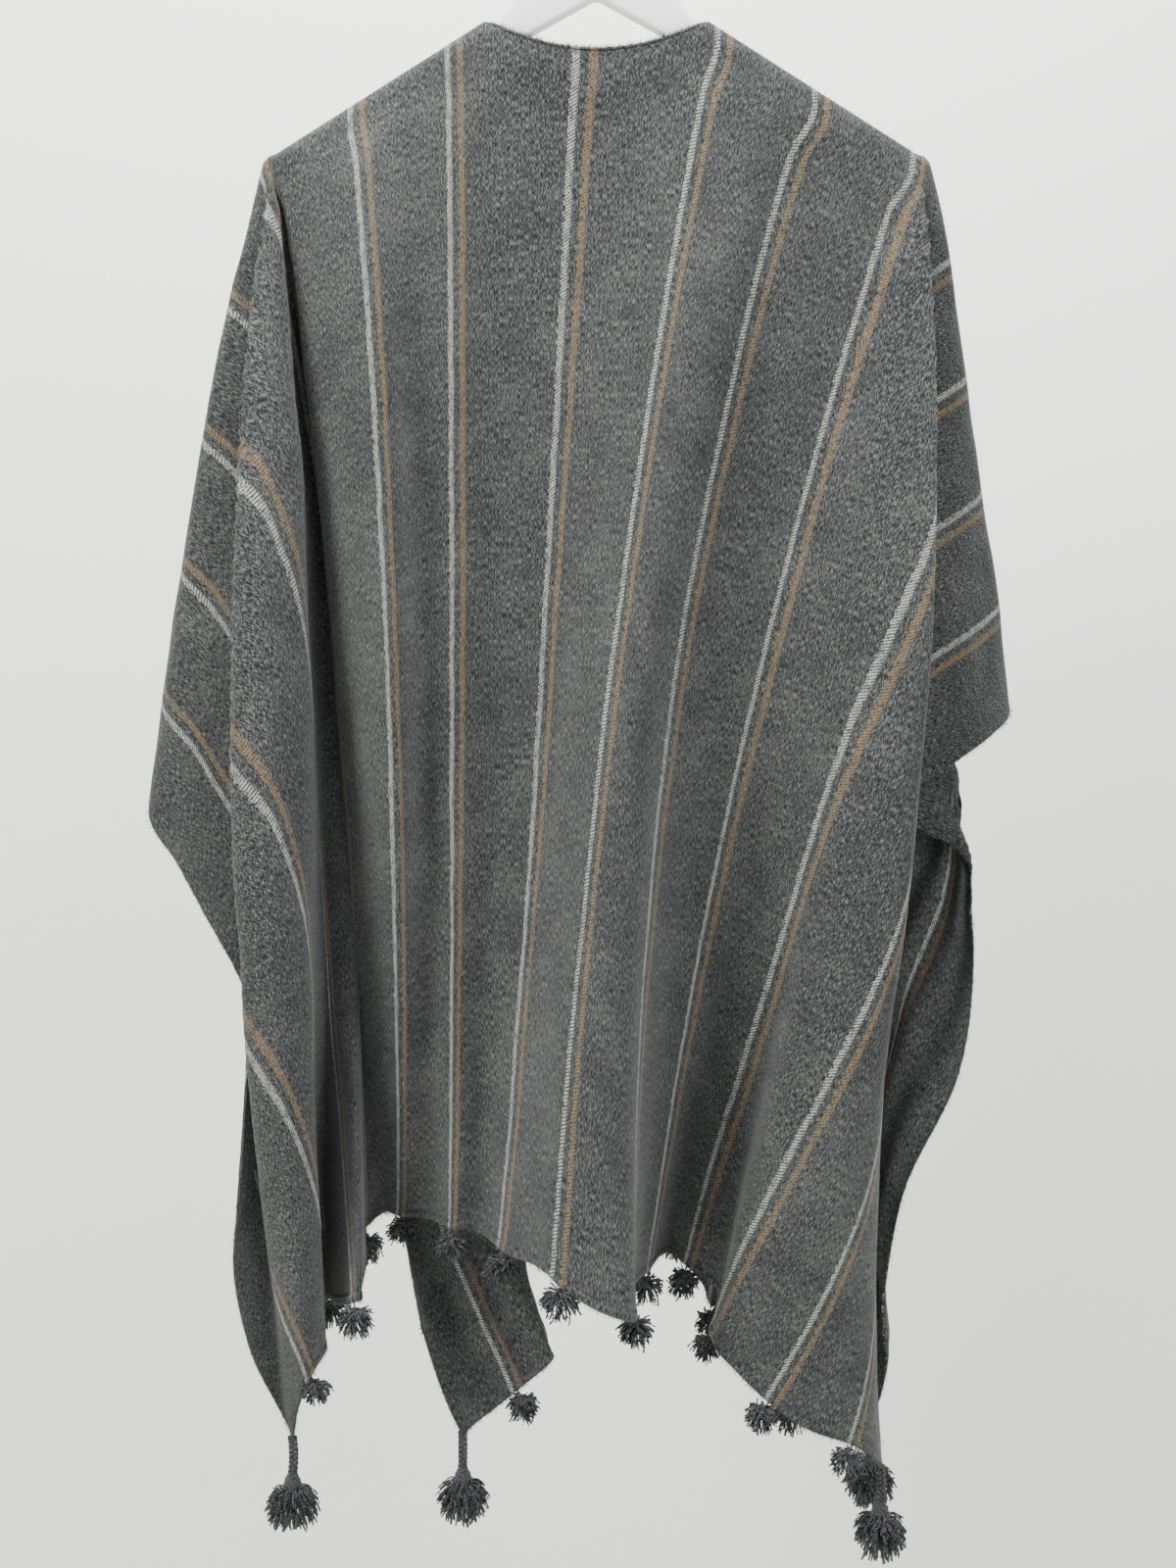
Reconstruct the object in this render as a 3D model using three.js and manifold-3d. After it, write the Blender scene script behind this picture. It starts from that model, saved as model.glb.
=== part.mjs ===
// A striped wool wrap cape hanging on a broad hanger, seen from its back along +Y.
// Millimetres, +Z up. The origin is where the hook hangs on its rail. -X is the wearer's left.
import * as THREE from "three";
import { mergeVertices } from "three/addons/utils/BufferGeometryUtils.js";
import Module from "manifold-3d";

const wasm = await Module();
wasm.setup();

// ---- Driving dimensions -------------------------------------------------------------------

// The woven rectangle. U runs across it and V from the shoulder fold down to a hem.
const HALF_LENGTH = 870;
const STRIPE_PITCH = 80;
const FIRST_STRIPE = -3;
const LAST_STRIPE = 11;
const CENTRE_STRIPE = 4;
const CENTRE_STRIPE_U = -6.5;
const SELVEDGE_MARGIN = 0.9; // in stripe pitches, outside the last stripe
const CLOTH_WALL = 2;
const SEAM_GAP = 0.3;
const CELL = 30; // size of a facet of the cloth
const SHOULDER_ROWS = [0, 5, 10, 15]; // depths of the facets over the arm
const NECK_COLUMNS = [0.9, 0.5]; // shares of the neck's half cut, from the neck point inwards

// Neck opening, as cut and as it hangs.
const NECK_HALF_CUT = 62;
const NECK_HALF_WIDTH = 78;
const BACK_NECK_CUT = 26;
const BACK_NECK_DROP = 20.6;
const FRONT_NECK_CUT = 75;
const FRONT_NECK_DROP = 62;
const SLIT_X = 45; // where the top of each front edge hangs
const SLIT_HALF_GAP = 2;

// Hanger: the shoulder line runs from the neck points to the tips.
const SHOULDER_TOP = -133;
const SHOULDER_SLOPE = 0.64;
const TIP_X = 222;
const FOLD_RADIUS = 10; // of the cloth over the arm
const SETTLE_FROM = 15; // below the arm, where the cloth starts to follow its folds
const SETTLE_TO = 120;
const TIP_FLARE = 0.25; // how fast the cloth round a tip opens before it folds
const ARM_THICKNESS = 10;
const ARM_DEPTH = 25;
const TIP_ROUND = 7;
const HUB_TOP = -46;
const HUB_HALF_WIDTH = 13;
const CROTCH = -116;
const ARM_CLEARANCE = 0.6;
const ARM_DIP = 4; // of the arm below the neck point
const EDGE_ROUND = 4;

const HOOK_WIRE = 4;
const HOOK_RADIUS = 22;
const HOOK_START = -72; // degrees
const HOOK_END = 196;

// Pompoms and corner tassels.
const POM_HEAD = 6.5;
const POM_REACH = 12.5;
const POM_LOCKS = 6;
const POM_LOCK_END = 3.6;
const POM_CENTRE_DROP = 12.5;
const POM_YARN = 2.4;
const POM_OUT_OF_FOLD = 4;
const STEM_LENGTH = 24;
const STEM_RADIUS = 3;
const KNOT_RADIUS = 6;
const TASSEL_HEAD = 9;
const TASSEL_REACH = 21;
const TASSEL_DROP = 26;
const TASSEL_LOCKS = 19;
const TASSEL_LOCK_END = 4.2;
const HEM_CLEARANCE = 0.5;

const WOOL = new THREE.MeshStandardMaterial({ color: 0x4b4e50, roughness: 0.95 });
const YARN = new THREE.MeshStandardMaterial({ color: 0x3d3f42, roughness: 1 });
const PLASTIC = new THREE.MeshStandardMaterial({ color: 0xeceef0, roughness: 0.35 });
const STEEL = new THREE.MeshStandardMaterial({ color: 0xb8bbbe, roughness: 0.3, metalness: 1 });

// ---- How the cloth hangs --------------------------------------------------------------------
// The cloth falls in rulings. Each starts on the shoulder line, or at a hanger tip for all cloth
// outside the tips, and ends on the cloth's edge. A row is one ruling at the top or bottom of a
// fold: `at` says where it meets the edge (a stripe number on a hem, V on a selvedge), midX and
// midY where it is halfway down, endX and endY where it ends, and gather the length that small
// creases take up. Its height follows from its length.

const COLUMNS = ["at", "midX", "midY", "endX", "endY", "gather"];
const rows = (table) =>
  table.map((row) => Object.fromEntries(COLUMNS.map((name, i) => [name, row[i]])));

const BACK_HEM = rows([
  [-3.9, -238, -5, -214, 50, 44],
  [-3.4, -242, -28, -207, 38, 58],
  [-3.0, -221, -32, -197, 20, 72],
  [-2.5, -206, -22, -190, 45, 70],
  [-2.0, -197, -8, -208, 62, 62],
  [-1.5, -196, 12, -214, 92, 56],
  [-1.0, -199, 34, -199, 108, 52],
  [-0.5, -199, 52, -184, 66, 56],
  [0.0, -193, 63, -169, 20, 67],
  [0.3, -187, 65, -164, 12, 70],
  [0.6, -184, 58, -166, 42, 80],
  [1.0, -184, 42, -170, 85, 92],
  [1.5, -165, 5, -158, 98, 88],
  [2.0, -139, -22, -144, 92, 66],
  [2.5, -121, 4, -122, 74, 48],
  [3.0, -97, 4, -103, 46, 28],
  [3.5, -66, 22, -84, 40, 12],
  [4.0, -34, 20, -64, 5, 4],
  [4.5, -8, 2, -45, -28, 2],
  [5.0, 17, -20, -26, -48, 0],
  [5.4, 32, -28, 1, -52, 0],
  [5.75, 44, -18, 24, -36, 4],
  [6.0, 56, 4, 25, -8, 12],
  [6.5, 84, 25, 26, 38, 30],
  [7.0, 111, 30, 38, 74, 46],
  [7.5, 128, 28, 52, 106, 52],
  [8.0, 142, 20, 66, 98, 50],
  [8.5, 157, 10, 88, 80, 46],
  [9.0, 172, -2, 80, 38, 38],
  [9.5, 192, -18, 97, 18, 28],
  [10.0, 210, -30, 118, 12, 22],
  [10.5, 214, -22, 144, 5, 20],
  [11.0, 206, -4, 175, 12, 22],
  [11.5, 198, 8, 192, 24, 22],
  [11.9, 191, 16, 199, 46, 20],
]);

const RIGHT_SELVEDGE = rows([
  [700, 180, 28, 142, 60, 15],
  [550, 154, 34, 86, 72, 10],
  [450, 143, 38, 60, 78, 10],
  [330, 188, 36, 150, 70, 15],
  [262, 222, 30, 219, 62, 20],
  [200, 243, 31, 260, 60, 14],
  [150, 253, 33, 280, 66, 5],
  [105, 259, 37, 293, 74, 0],
  [50, 259, 46, 289, 84, 0],
  [0, 250, 57, 266, 92, 5],
  [-60, 224, 62, 215, 90, 10],
  [-120, 197, 64, 168, 92, 10],
  [-180, 180, 70, 135, 98, 10],
  [-230, 184, 80, 142, 106, 10],
  [-285, 205, 89, 200, 113, 10],
  [-344, 234, 96, 268, 117, 12],
  [-410, 244, 102, 280, 117, 12],
  [-478, 248, 106, 281, 114, 12],
  [-568, 248, 114, 268, 110, 12],
  [-663, 240, 122, 228, 108, 12],
  [-760, 228, 128, 212, 108, 15],
]);

const RIGHT_FRONT_HEM = rows([
  [11.9, 212, 132, 204, 110, 20],
  [11.5, 203, 136, 180, 104, 15],
  [11.0, 194, 140, 147, 110, 5],
  [10.0, 183, 164, 132, 160, 5],
  [9.0, 172, 138, 116, 104, 10],
  [8.0, 162, 164, 103, 160, 12],
  [7.0, 150, 138, 87, 104, 15],
  [6.0, 108, 120, 64, 154, 15],
  [5.0, 60, 88, 36, 104, 15],
  [4.08, 26, 86, 10, 128, 15],
]);

const LEFT_SELVEDGE = rows([
  [770, -232, 6, -241, 28, 30],
  [680, -226, 8, -248, 12, 25],
  [600, -222, 14, -234, 22, 20],
  [520, -220, 18, -224, 30, 15],
  [433, -228, 14, -244, 16, 15],
  [365, -243, 12, -271, 18, 15],
  [320, -255, 12, -288, 20, 15],
  [283, -270, 14, -306, 26, 15],
  [240, -272, 24, -306, 40, 15],
  [180, -260, 32, -278, 52, 15],
  [110, -238, 38, -225, 60, 10],
  [40, -212, 42, -172, 68, 10],
  [-20, -196, 46, -148, 74, 10],
  [-80, -198, 50, -155, 82, 10],
  [-150, -218, 52, -200, 88, 10],
  [-220, -238, 54, -245, 90, 10],
  [-280, -246, 58, -262, 92, 10],
  [-340, -238, 66, -246, 98, 10],
  [-420, -222, 80, -210, 108, 10],
  [-520, -202, 94, -172, 112, 10],
  [-620, -186, 104, -150, 114, 12],
  [-700, -176, 110, -138, 98, 14],
  [-780, -168, 111, -124, 82, 16],
]);

const LEFT_FRONT_HEM = rows([
  [-3.9, -160, 112, -94, 66, 26],
  [-3.0, -142, 116, -55, 72, 22],
  [-2.45, -132, 120, -33, 82, 20],
  [-2.0, -146, 129, -56, 98, 20],
  [-1.4, -168, 129, -102, 112, 15],
  [-1.0, -173, 146, -121, 148, 15],
  [0.0, -160, 136, -99, 136, 15],
  [1.0, -140, 168, -90, 182, 10],
  [2.0, -118, 122, -74, 130, 15],
  [3.0, -82, 150, -54, 178, 10],
  [4.08, -36, 98, -26, 126, 15],
]);

// ---- The cloth surface ----------------------------------------------------------------------

const stripeU = (stripe) => (stripe - CENTRE_STRIPE) * STRIPE_PITCH + CENTRE_STRIPE_U;
const EDGE_LEFT = stripeU(FIRST_STRIPE - SELVEDGE_MARGIN);
const EDGE_RIGHT = stripeU(LAST_STRIPE + SELVEDGE_MARGIN);
const TIP_U = NECK_HALF_CUT + (TIP_X - NECK_HALF_WIDTH) * Math.hypot(1, SHOULDER_SLOPE);
const TIP_Z = SHOULDER_TOP - (TIP_X - NECK_HALF_WIDTH) * SHOULDER_SLOPE;

// Distance round the cloth's edge from the middle of the back hem, positive to the right.
const edgeU = (side) => (side > 0 ? EDGE_RIGHT : EDGE_LEFT);
const onBackHem = (u) => u;
const onSelvedge = (v, side) => edgeU(side) + side * (HALF_LENGTH - v);
const onFrontHem = (u, side) => edgeU(side) + side * 2 * HALF_LENGTH + edgeU(side) - u;

// All rulings in order round the edge.
const rulings = [
  ...BACK_HEM.map((row) => ({ ...row, along: onBackHem(stripeU(row.at)) })),
  ...RIGHT_SELVEDGE.map((row) => ({ ...row, along: onSelvedge(row.at, 1) })),
  ...RIGHT_FRONT_HEM.map((row) => ({ ...row, along: onFrontHem(stripeU(row.at), 1) })),
  ...LEFT_SELVEDGE.map((row) => ({ ...row, along: onSelvedge(row.at, -1) })),
  ...LEFT_FRONT_HEM.map((row) => ({ ...row, along: onFrontHem(stripeU(row.at), -1) })),
].sort((a, b) => a.along - b.along);

// Slope of one column at one ruling, from the parabola through it and its neighbours.
function slopeAt(i, column) {
  const before = rulings[Math.max(i - 1, 0)];
  const here = rulings[i];
  const after = rulings[Math.min(i + 1, rulings.length - 1)];
  if (before === here) return (after[column] - here[column]) / (after.along - here.along);
  if (after === here) return (here[column] - before[column]) / (here.along - before.along);
  const left = here.along - before.along;
  const right = after.along - here.along;
  const slopeLeft = (here[column] - before[column]) / left;
  const slopeRight = (after[column] - here[column]) / right;
  return (slopeLeft * right + slopeRight * left) / (left + right);
}

// Values of the ruling that meets the edge at `along`, smoothed between the rows.
function rulingAt(along) {
  let i = rulings.findIndex((row) => row.along > along) - 1;
  if (i < 0) i = along < rulings[0].along ? 0 : rulings.length - 2;
  const span = rulings[i + 1].along - rulings[i].along;
  const t = THREE.MathUtils.clamp((along - rulings[i].along) / span, 0, 1);
  const value = {};
  for (const column of COLUMNS.slice(1)) {
    const [a, b] = [rulings[i][column], rulings[i + 1][column]];
    const [slopeA, slopeB] = [slopeAt(i, column) * span, slopeAt(i + 1, column) * span];
    value[column] =
      a * (1 + 2 * t) * (1 - t) ** 2 +
      slopeA * t * (1 - t) ** 2 +
      b * t * t * (3 - 2 * t) +
      slopeB * t * t * (t - 1);
  }
  return value;
}

// How far below the shoulder fold the neck is cut.
function neckCut(u, isBack) {
  const t = Math.abs(u) / NECK_HALF_CUT;
  if (t >= 1) return 0;
  return isBack ? BACK_NECK_CUT * (1 - t * t) : FRONT_NECK_CUT * (1 - t);
}

// How far the neck edge has come off the top of the arm, from 0 at the neck point to 1.
const offArm = (u) => Math.sqrt(1 - Math.min(Math.abs(u) / NECK_HALF_CUT, 1) ** 6);

// Where a ruling leaves the shoulder line or the neck edge.
function anchorAt(u, isBack) {
  const side = Math.sign(u) || 1;
  const width = Math.abs(u);
  if (width >= NECK_HALF_CUT) {
    const reach = Math.min(width, TIP_U) - NECK_HALF_CUT;
    const x = NECK_HALF_WIDTH + reach / Math.hypot(1, SHOULDER_SLOPE);
    return new THREE.Vector3(side * x, 0, SHOULDER_TOP - (x - NECK_HALF_WIDTH) * SHOULDER_SLOPE);
  }
  const t = width / NECK_HALF_CUT;
  const off = FOLD_RADIUS * offArm(u);
  if (isBack) {
    return new THREE.Vector3(
      side * NECK_HALF_WIDTH * t,
      -off,
      SHOULDER_TOP - BACK_NECK_DROP * (1 - t * t),
    );
  }
  const x = SLIT_X + (NECK_HALF_WIDTH - SLIT_X) * t;
  return new THREE.Vector3(side * x, off, SHOULDER_TOP - FRONT_NECK_DROP * (1 - t));
}

// Place in space of the cloth's point (u, v); v is positive on the back.
function clothPoint(u, v, isBack) {
  const side = Math.sign(u) || 1;
  const out = Math.abs(u) - TIP_U;
  const depth = Math.abs(v);
  const facing = isBack ? -1 : 1;
  let run, length, along, outward, backward;
  if (out <= 0) {
    const cut = neckCut(u, isBack);
    run = depth - cut;
    length = HALF_LENGTH - cut;
    along = isBack ? onBackHem(u) : onFrontHem(u, side);
    outward = 0;
    backward = facing * (1 - offArm(u));
  } else {
    const widest = Math.abs(edgeU(side)) - TIP_U;
    run = Math.hypot(out, depth);
    outward = (side * out) / (run || 1);
    backward = (facing * depth) / (run || 1);
    if (depth * widest >= HALF_LENGTH * out) {
      const atHem = (out * HALF_LENGTH) / depth;
      length = Math.hypot(atHem, HALF_LENGTH);
      const hemU = side * (TIP_U + atHem);
      along = isBack ? onBackHem(hemU) : onFrontHem(hemU, side);
    } else {
      const atSelvedge = (depth * widest) / out;
      length = Math.hypot(widest, atSelvedge);
      along = onSelvedge(-facing * atSelvedge, side);
    }
  }
  const anchor = anchorAt(u, isBack);
  const ruling = rulingAt(along);
  const t = run / length;
  // The parabola from the anchor through the middle to the end.
  const bend = (start, middle, end) =>
    (4 * middle - end - 3 * start) * t + (2 * end + 2 * start - 4 * middle) * t * t;
  const dx = bend(anchor.x, ruling.midX, ruling.endX);
  const dy = bend(0, ruling.midY, ruling.endY);
  // The rounding over the arm.
  const turn = Math.min(run / FOLD_RADIUS, Math.PI / 2);
  const reach = FOLD_RADIUS * Math.sin(turn);
  const over = FOLD_RADIUS * (1 - Math.cos(turn));
  const fall = over + run - FOLD_RADIUS * turn - ruling.gather * t;
  const settle = THREE.MathUtils.smoothstep(run, SETTLE_FROM, SETTLE_TO);
  const flare = TIP_FLARE * Math.max(run - SETTLE_FROM, 0) * (1 - settle) * Math.abs(outward);
  const shiftX = dx * settle;
  const shiftY = dy * settle;
  const down = Math.sqrt(Math.max(fall * fall - shiftX ** 2 - shiftY ** 2, (0.5 * fall) ** 2));
  return new THREE.Vector3(
    anchor.x + outward * (reach + flare) + shiftX,
    anchor.y + backward * (reach + flare) + shiftY,
    anchor.z - down,
  );
}

// ---- Solids ---------------------------------------------------------------------------------

const spread = (from, to, cell) => {
  const count = Math.round(Math.abs(to - from) / cell);
  return Array.from({ length: count + 1 }, (_, i) => from + ((to - from) * i) / count);
};

// The cloth's outward normal, from points a little way round; it is the same on both sides of
// the shoulder fold, so the stretches that meet there line up.
function clothNormal(u, v, isBack) {
  const step = 8;
  const low = THREE.MathUtils.clamp(u - step, EDGE_LEFT, EDGE_RIGHT);
  const high = THREE.MathUtils.clamp(u + step, EDGE_LEFT, EDGE_RIGHT);
  const inSlit = !isBack && low * high < 0;
  const across = clothPoint(inSlit && u < 0 ? u : high, v, isBack).sub(
    clothPoint(inSlit && u > 0 ? u : low, v, isBack),
  );
  const isFoldOpen = neckCut(u, isBack) === 0;
  const [above, below] = [v - step, v + step].map((w) => {
    const crosses = isBack ? w < 0 : w > 0;
    return clothPoint(u, crosses && !isFoldOpen ? v : w, crosses && isFoldOpen ? !isBack : isBack);
  });
  return across.cross(below.sub(above)).normalize();
}

// A closed wall of the given thickness round a grid of {point, normal} (rows of equal length).
function wallFromGrid(grid, thickness) {
  const count = [grid.length, grid[0].length];
  const points = [];
  for (const offset of [thickness / 2, -thickness / 2])
    for (const row of grid)
      for (const { point, normal } of row)
        points.push(point.clone().addScaledVector(normal, offset));
  const layer = count[0] * count[1];
  const index = [];
  const face = (a, b, c, d) => index.push(a, b, c, a, c, d);
  const id = (i, j, side) => side * layer + i * count[1] + j;
  for (let i = 0; i + 1 < count[0]; i++)
    for (let j = 0; j + 1 < count[1]; j++) {
      face(id(i, j, 0), id(i + 1, j, 0), id(i + 1, j + 1, 0), id(i, j + 1, 0));
      face(id(i, j, 1), id(i, j + 1, 1), id(i + 1, j + 1, 1), id(i + 1, j, 1));
    }
  // Rims are cut along the same diagonal on both sides of a seam.
  const rim = (a, b, c, d) => (thickness > 0 ? face(a, b, c, d) : face(b, c, d, a));
  for (let i = 0; i + 1 < count[0]; i++) {
    const last = count[1] - 1;
    rim(id(i, 0, 0), id(i, 0, 1), id(i + 1, 0, 1), id(i + 1, 0, 0));
    face(id(i, last, 0), id(i + 1, last, 0), id(i + 1, last, 1), id(i, last, 1));
  }
  for (let j = 0; j + 1 < count[1]; j++) {
    const last = count[0] - 1;
    face(id(0, j, 0), id(0, j + 1, 0), id(0, j + 1, 1), id(0, j, 1));
    face(id(last, j, 0), id(last, j, 1), id(last, j + 1, 1), id(last, j + 1, 0));
  }
  const geometry = new THREE.BufferGeometry().setFromPoints(points);
  geometry.setIndex(index);
  geometry.computeVertexNormals();
  return geometry;
}

// Columns of the cloth's grid, shared by all its stretches.
const COLUMNS_U = [
  ...spread(EDGE_LEFT, -TIP_U, CELL),
  ...spread(-TIP_U, -NECK_HALF_CUT, CELL).slice(1),
  ...NECK_COLUMNS.map((share) => -share * NECK_HALF_CUT),
  -SLIT_HALF_GAP,
  SLIT_HALF_GAP,
  ...NECK_COLUMNS.map((share) => share * NECK_HALF_CUT).reverse(),
  ...spread(NECK_HALF_CUT, TIP_U, CELL).slice(1),
  ...spread(TIP_U, EDGE_RIGHT, CELL).slice(1),
];

// One stretch of the panel over the given columns.
function clothStretch(columns, isBack) {
  const sign = isBack ? 1 : -1;
  const grid = columns.map((u) => {
    const top = Math.max(neckCut(u, isBack), SEAM_GAP / 2);
    const overArm = SHOULDER_ROWS.map((depth) => top + depth);
    const below = top + SHOULDER_ROWS.at(-1);
    const cell = (HALF_LENGTH - below) / Math.round(HALF_LENGTH / CELL);
    return [...overArm, ...spread(below, HALF_LENGTH, cell).slice(1)].map((depth) => ({
      point: clothPoint(u, sign * depth, isBack),
      normal: clothNormal(u, sign * depth, isBack),
    }));
  });
  return wallFromGrid(grid, isBack ? CLOTH_WALL : -CLOTH_WALL);
}

// Joins geometries into one closed solid.
function join(geometries) {
  const solids = geometries.map((geometry) => {
    const bare = new THREE.BufferGeometry();
    bare.setAttribute("position", geometry.getAttribute("position"));
    bare.setIndex(geometry.index);
    const merged = mergeVertices(bare, 1e-4);
    return new wasm.Manifold(
      new wasm.Mesh({
        numProp: 3,
        vertProperties: new Float32Array(merged.attributes.position.array),
        triVerts: new Uint32Array(merged.index.array),
      }),
    );
  });
  const mesh = solids.reduce((sum, solid) => sum.add(solid)).getMesh();
  const geometry = new THREE.BufferGeometry();
  geometry.setAttribute("position", new THREE.BufferAttribute(mesh.vertProperties, 3));
  geometry.setIndex(new THREE.BufferAttribute(mesh.triVerts, 1));
  geometry.computeVertexNormals();
  return geometry;
}

const DOWN = new THREE.Vector3(0, 0, -1);

// A three-sided lock of yarn from a point, widening along its direction.
function lock(start, direction, length, endRadius) {
  const geometry = new THREE.CylinderGeometry(endRadius, 0, length, 3);
  geometry.translate(0, length / 2, 0);
  const turn = new THREE.Quaternion().setFromUnitVectors(
    new THREE.Vector3(0, 1, 0),
    direction.clone().normalize(),
  );
  return geometry.applyQuaternion(turn).translate(start.x, start.y, start.z);
}

// A pompom: a small head with locks fanned out round and below it, on a short yarn to the hem.
function pompom(hem) {
  const yarn = lock(hem, hem.clone().negate(), hem.length(), POM_YARN);
  const parts = [new THREE.OctahedronGeometry(POM_HEAD, 0), yarn];
  for (let i = 0; i < POM_LOCKS; i++) {
    const around = (2 * Math.PI * (i + 0.5)) / POM_LOCKS;
    const direction = new THREE.Vector3(Math.cos(around), Math.sin(around), -0.5 - 0.6 * (i % 2));
    parts.push(lock(new THREE.Vector3(), direction, POM_REACH, POM_LOCK_END));
  }
  return join(parts);
}

// A corner tassel: braided stem, knot, and a ball of locks under it.
function tassel() {
  const stem = new THREE.CylinderGeometry(STEM_RADIUS, STEM_RADIUS, STEM_LENGTH, 6);
  stem.rotateX(Math.PI / 2).translate(0, 0, -STEM_LENGTH / 2);
  const knotZ = -STEM_LENGTH - KNOT_RADIUS * 0.5;
  const knot = new THREE.IcosahedronGeometry(KNOT_RADIUS, 0).translate(0, 0, knotZ);
  const headZ = knotZ - KNOT_RADIUS * 0.6 - TASSEL_HEAD * 0.8;
  const head = new THREE.IcosahedronGeometry(TASSEL_HEAD, 0).translate(0, 0, headZ);
  const parts = [stem, knot, head];
  const centre = new THREE.Vector3(0, 0, headZ);
  for (let i = 0; i < TASSEL_LOCKS; i++) {
    const around = i * Math.PI * (3 - Math.sqrt(5));
    const height = 0.35 - (1.25 * (i + 0.5)) / TASSEL_LOCKS;
    const flat = Math.sqrt(1 - height * height);
    const direction = new THREE.Vector3(flat * Math.cos(around), flat * Math.sin(around), height);
    const length = THREE.MathUtils.lerp(TASSEL_REACH, TASSEL_DROP, Math.max(-height, 0));
    parts.push(lock(centre, direction, length, TASSEL_LOCK_END));
  }
  return join(parts);
}

// Hanger body: two broad arms that meet in a hub.
function hangerBody() {
  const drop = CLOTH_WALL / 2 + ARM_CLEARANCE;
  const topAt = (x) => SHOULDER_TOP - (x - NECK_HALF_WIDTH) * SHOULDER_SLOPE - drop;
  const tip = TIP_X - 2;
  const rise = NECK_HALF_WIDTH - 7;
  const half = [
    [HUB_HALF_WIDTH * 0.55, HUB_TOP],
    [HUB_HALF_WIDTH, HUB_TOP - 6],
    [HUB_HALF_WIDTH + 3, HUB_TOP - 22],
    [rise - 16, topAt(rise) + 18],
    [rise, topAt(rise) - ARM_DIP],
    [NECK_HALF_WIDTH + 60, topAt(NECK_HALF_WIDTH + 60)],
    [tip - TIP_ROUND, topAt(tip - TIP_ROUND)],
    [tip, topAt(tip) - TIP_ROUND * 0.6],
    [tip - 2, topAt(tip) - TIP_ROUND * 2],
    [tip - 18, topAt(tip) - TIP_ROUND * 1.6],
    [NECK_HALF_WIDTH, topAt(NECK_HALF_WIDTH) - ARM_DEPTH],
    [52, -145],
  ];
  const outline = [...half, [0, CROTCH], ...half.slice().reverse().map(([x, z]) => [-x, z])];
  const shape = new THREE.Shape(outline.map(([x, z]) => new THREE.Vector2(x, z)));
  const geometry = new THREE.ExtrudeGeometry(shape, {
    depth: ARM_THICKNESS - 2 * EDGE_ROUND,
    bevelThickness: EDGE_ROUND,
    bevelSize: EDGE_ROUND,
    bevelOffset: -EDGE_ROUND,
    bevelSegments: 2,
  });
  return geometry.rotateX(Math.PI / 2).translate(0, ARM_THICKNESS / 2 - EDGE_ROUND, 0);
}

// Wire hook: out of the hub, round over the rail.
function hangerHook() {
  const wire = HOOK_WIRE / 2;
  const centreZ = wire - HOOK_RADIUS;
  const stemFoot = HUB_TOP + 2 * SEAM_GAP;
  const points = [new THREE.Vector3(0, 0, stemFoot), new THREE.Vector3(0.2, 0, stemFoot + 2)];
  for (let angle = HOOK_START; angle <= HOOK_END; angle += 10) {
    const turn = THREE.MathUtils.degToRad(angle);
    points.push(
      new THREE.Vector3(HOOK_RADIUS * Math.cos(turn), 0, centreZ + HOOK_RADIUS * Math.sin(turn)),
    );
  }
  const section = new THREE.Shape().absarc(0, 0, wire, 0, 2 * Math.PI);
  return new THREE.ExtrudeGeometry(section, {
    steps: 30,
    curveSegments: 4,
    extrudePath: new THREE.CatmullRomCurve3(points),
  });
}

// ---- The object -----------------------------------------------------------------------------

const cape = new THREE.Group();

function add(name, geometry, material, position = new THREE.Vector3()) {
  const mesh = new THREE.Mesh(geometry, material);
  mesh.name = name;
  mesh.position.copy(position);
  cape.add(mesh);
}

add("back_panel", clothStretch(COLUMNS_U, true), WOOL);
add("front_panel_left", clothStretch(COLUMNS_U.filter((u) => u < 0), false), WOOL);
add("front_panel_right", clothStretch(COLUMNS_U.filter((u) => u > 0), false), WOOL);
add("hanger", hangerBody(), PLASTIC);
add("hanger_hook", hangerHook(), STEEL);

// The place just below the hem at u, on the facet between its columns, and the direction in
// which the cloth falls there.
function hemAt(u, isBack) {
  const sign = isBack ? 1 : -1;
  const after = Math.max(COLUMNS_U.findIndex((column) => column >= u), 1);
  const [left, right] = [COLUMNS_U[after - 1], COLUMNS_U[after]];
  const [edge, above] = [1, 0.95].map((share) =>
    clothPoint(left, sign * share * HALF_LENGTH, isBack).lerp(
      clothPoint(right, sign * share * HALF_LENGTH, isBack),
      (u - left) / (right - left),
    ),
  );
  const fall = edge.clone().sub(above).normalize();
  return { place: edge.addScaledVector(fall, HEM_CLEARANCE), fall };
}

// A pompom under the hem at u, set off the inside of the fold that the hem makes there.
function hangPompom(name, u, isBack) {
  const { place, fall } = hemAt(u, isBack);
  const beside = [u - POM_REACH, u + POM_REACH].map((other) => hemAt(other, isBack).place);
  const away = place.clone().multiplyScalar(2).sub(beside[0]).sub(beside[1]).setZ(0);
  const centre = place.clone().add(away.clampLength(0, POM_OUT_OF_FOLD));
  centre.addScaledVector(fall, POM_CENTRE_DROP);
  add(name, pompom(place.sub(centre)), YARN, centre);
}

for (let stripe = FIRST_STRIPE; stripe <= LAST_STRIPE; stripe++) {
  const number = String(stripe - FIRST_STRIPE + 1).padStart(2, "0");
  hangPompom(`pom_back_${number}`, stripeU(stripe), true);
  if (stripe === CENTRE_STRIPE) continue;
  const panel = stripe < CENTRE_STRIPE ? "left" : "right";
  hangPompom(`pom_${panel}_${number}`, stripeU(stripe), false);
}
for (const [name, u, isBack] of [
  ["tassel_back_left", EDGE_LEFT, true],
  ["tassel_back_right", EDGE_RIGHT, true],
  ["tassel_front_left", EDGE_LEFT, false],
  ["tassel_front_right", EDGE_RIGHT, false],
])
  add(name, tassel(), YARN, hemAt(u, isBack).place);

export default cape;
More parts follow.
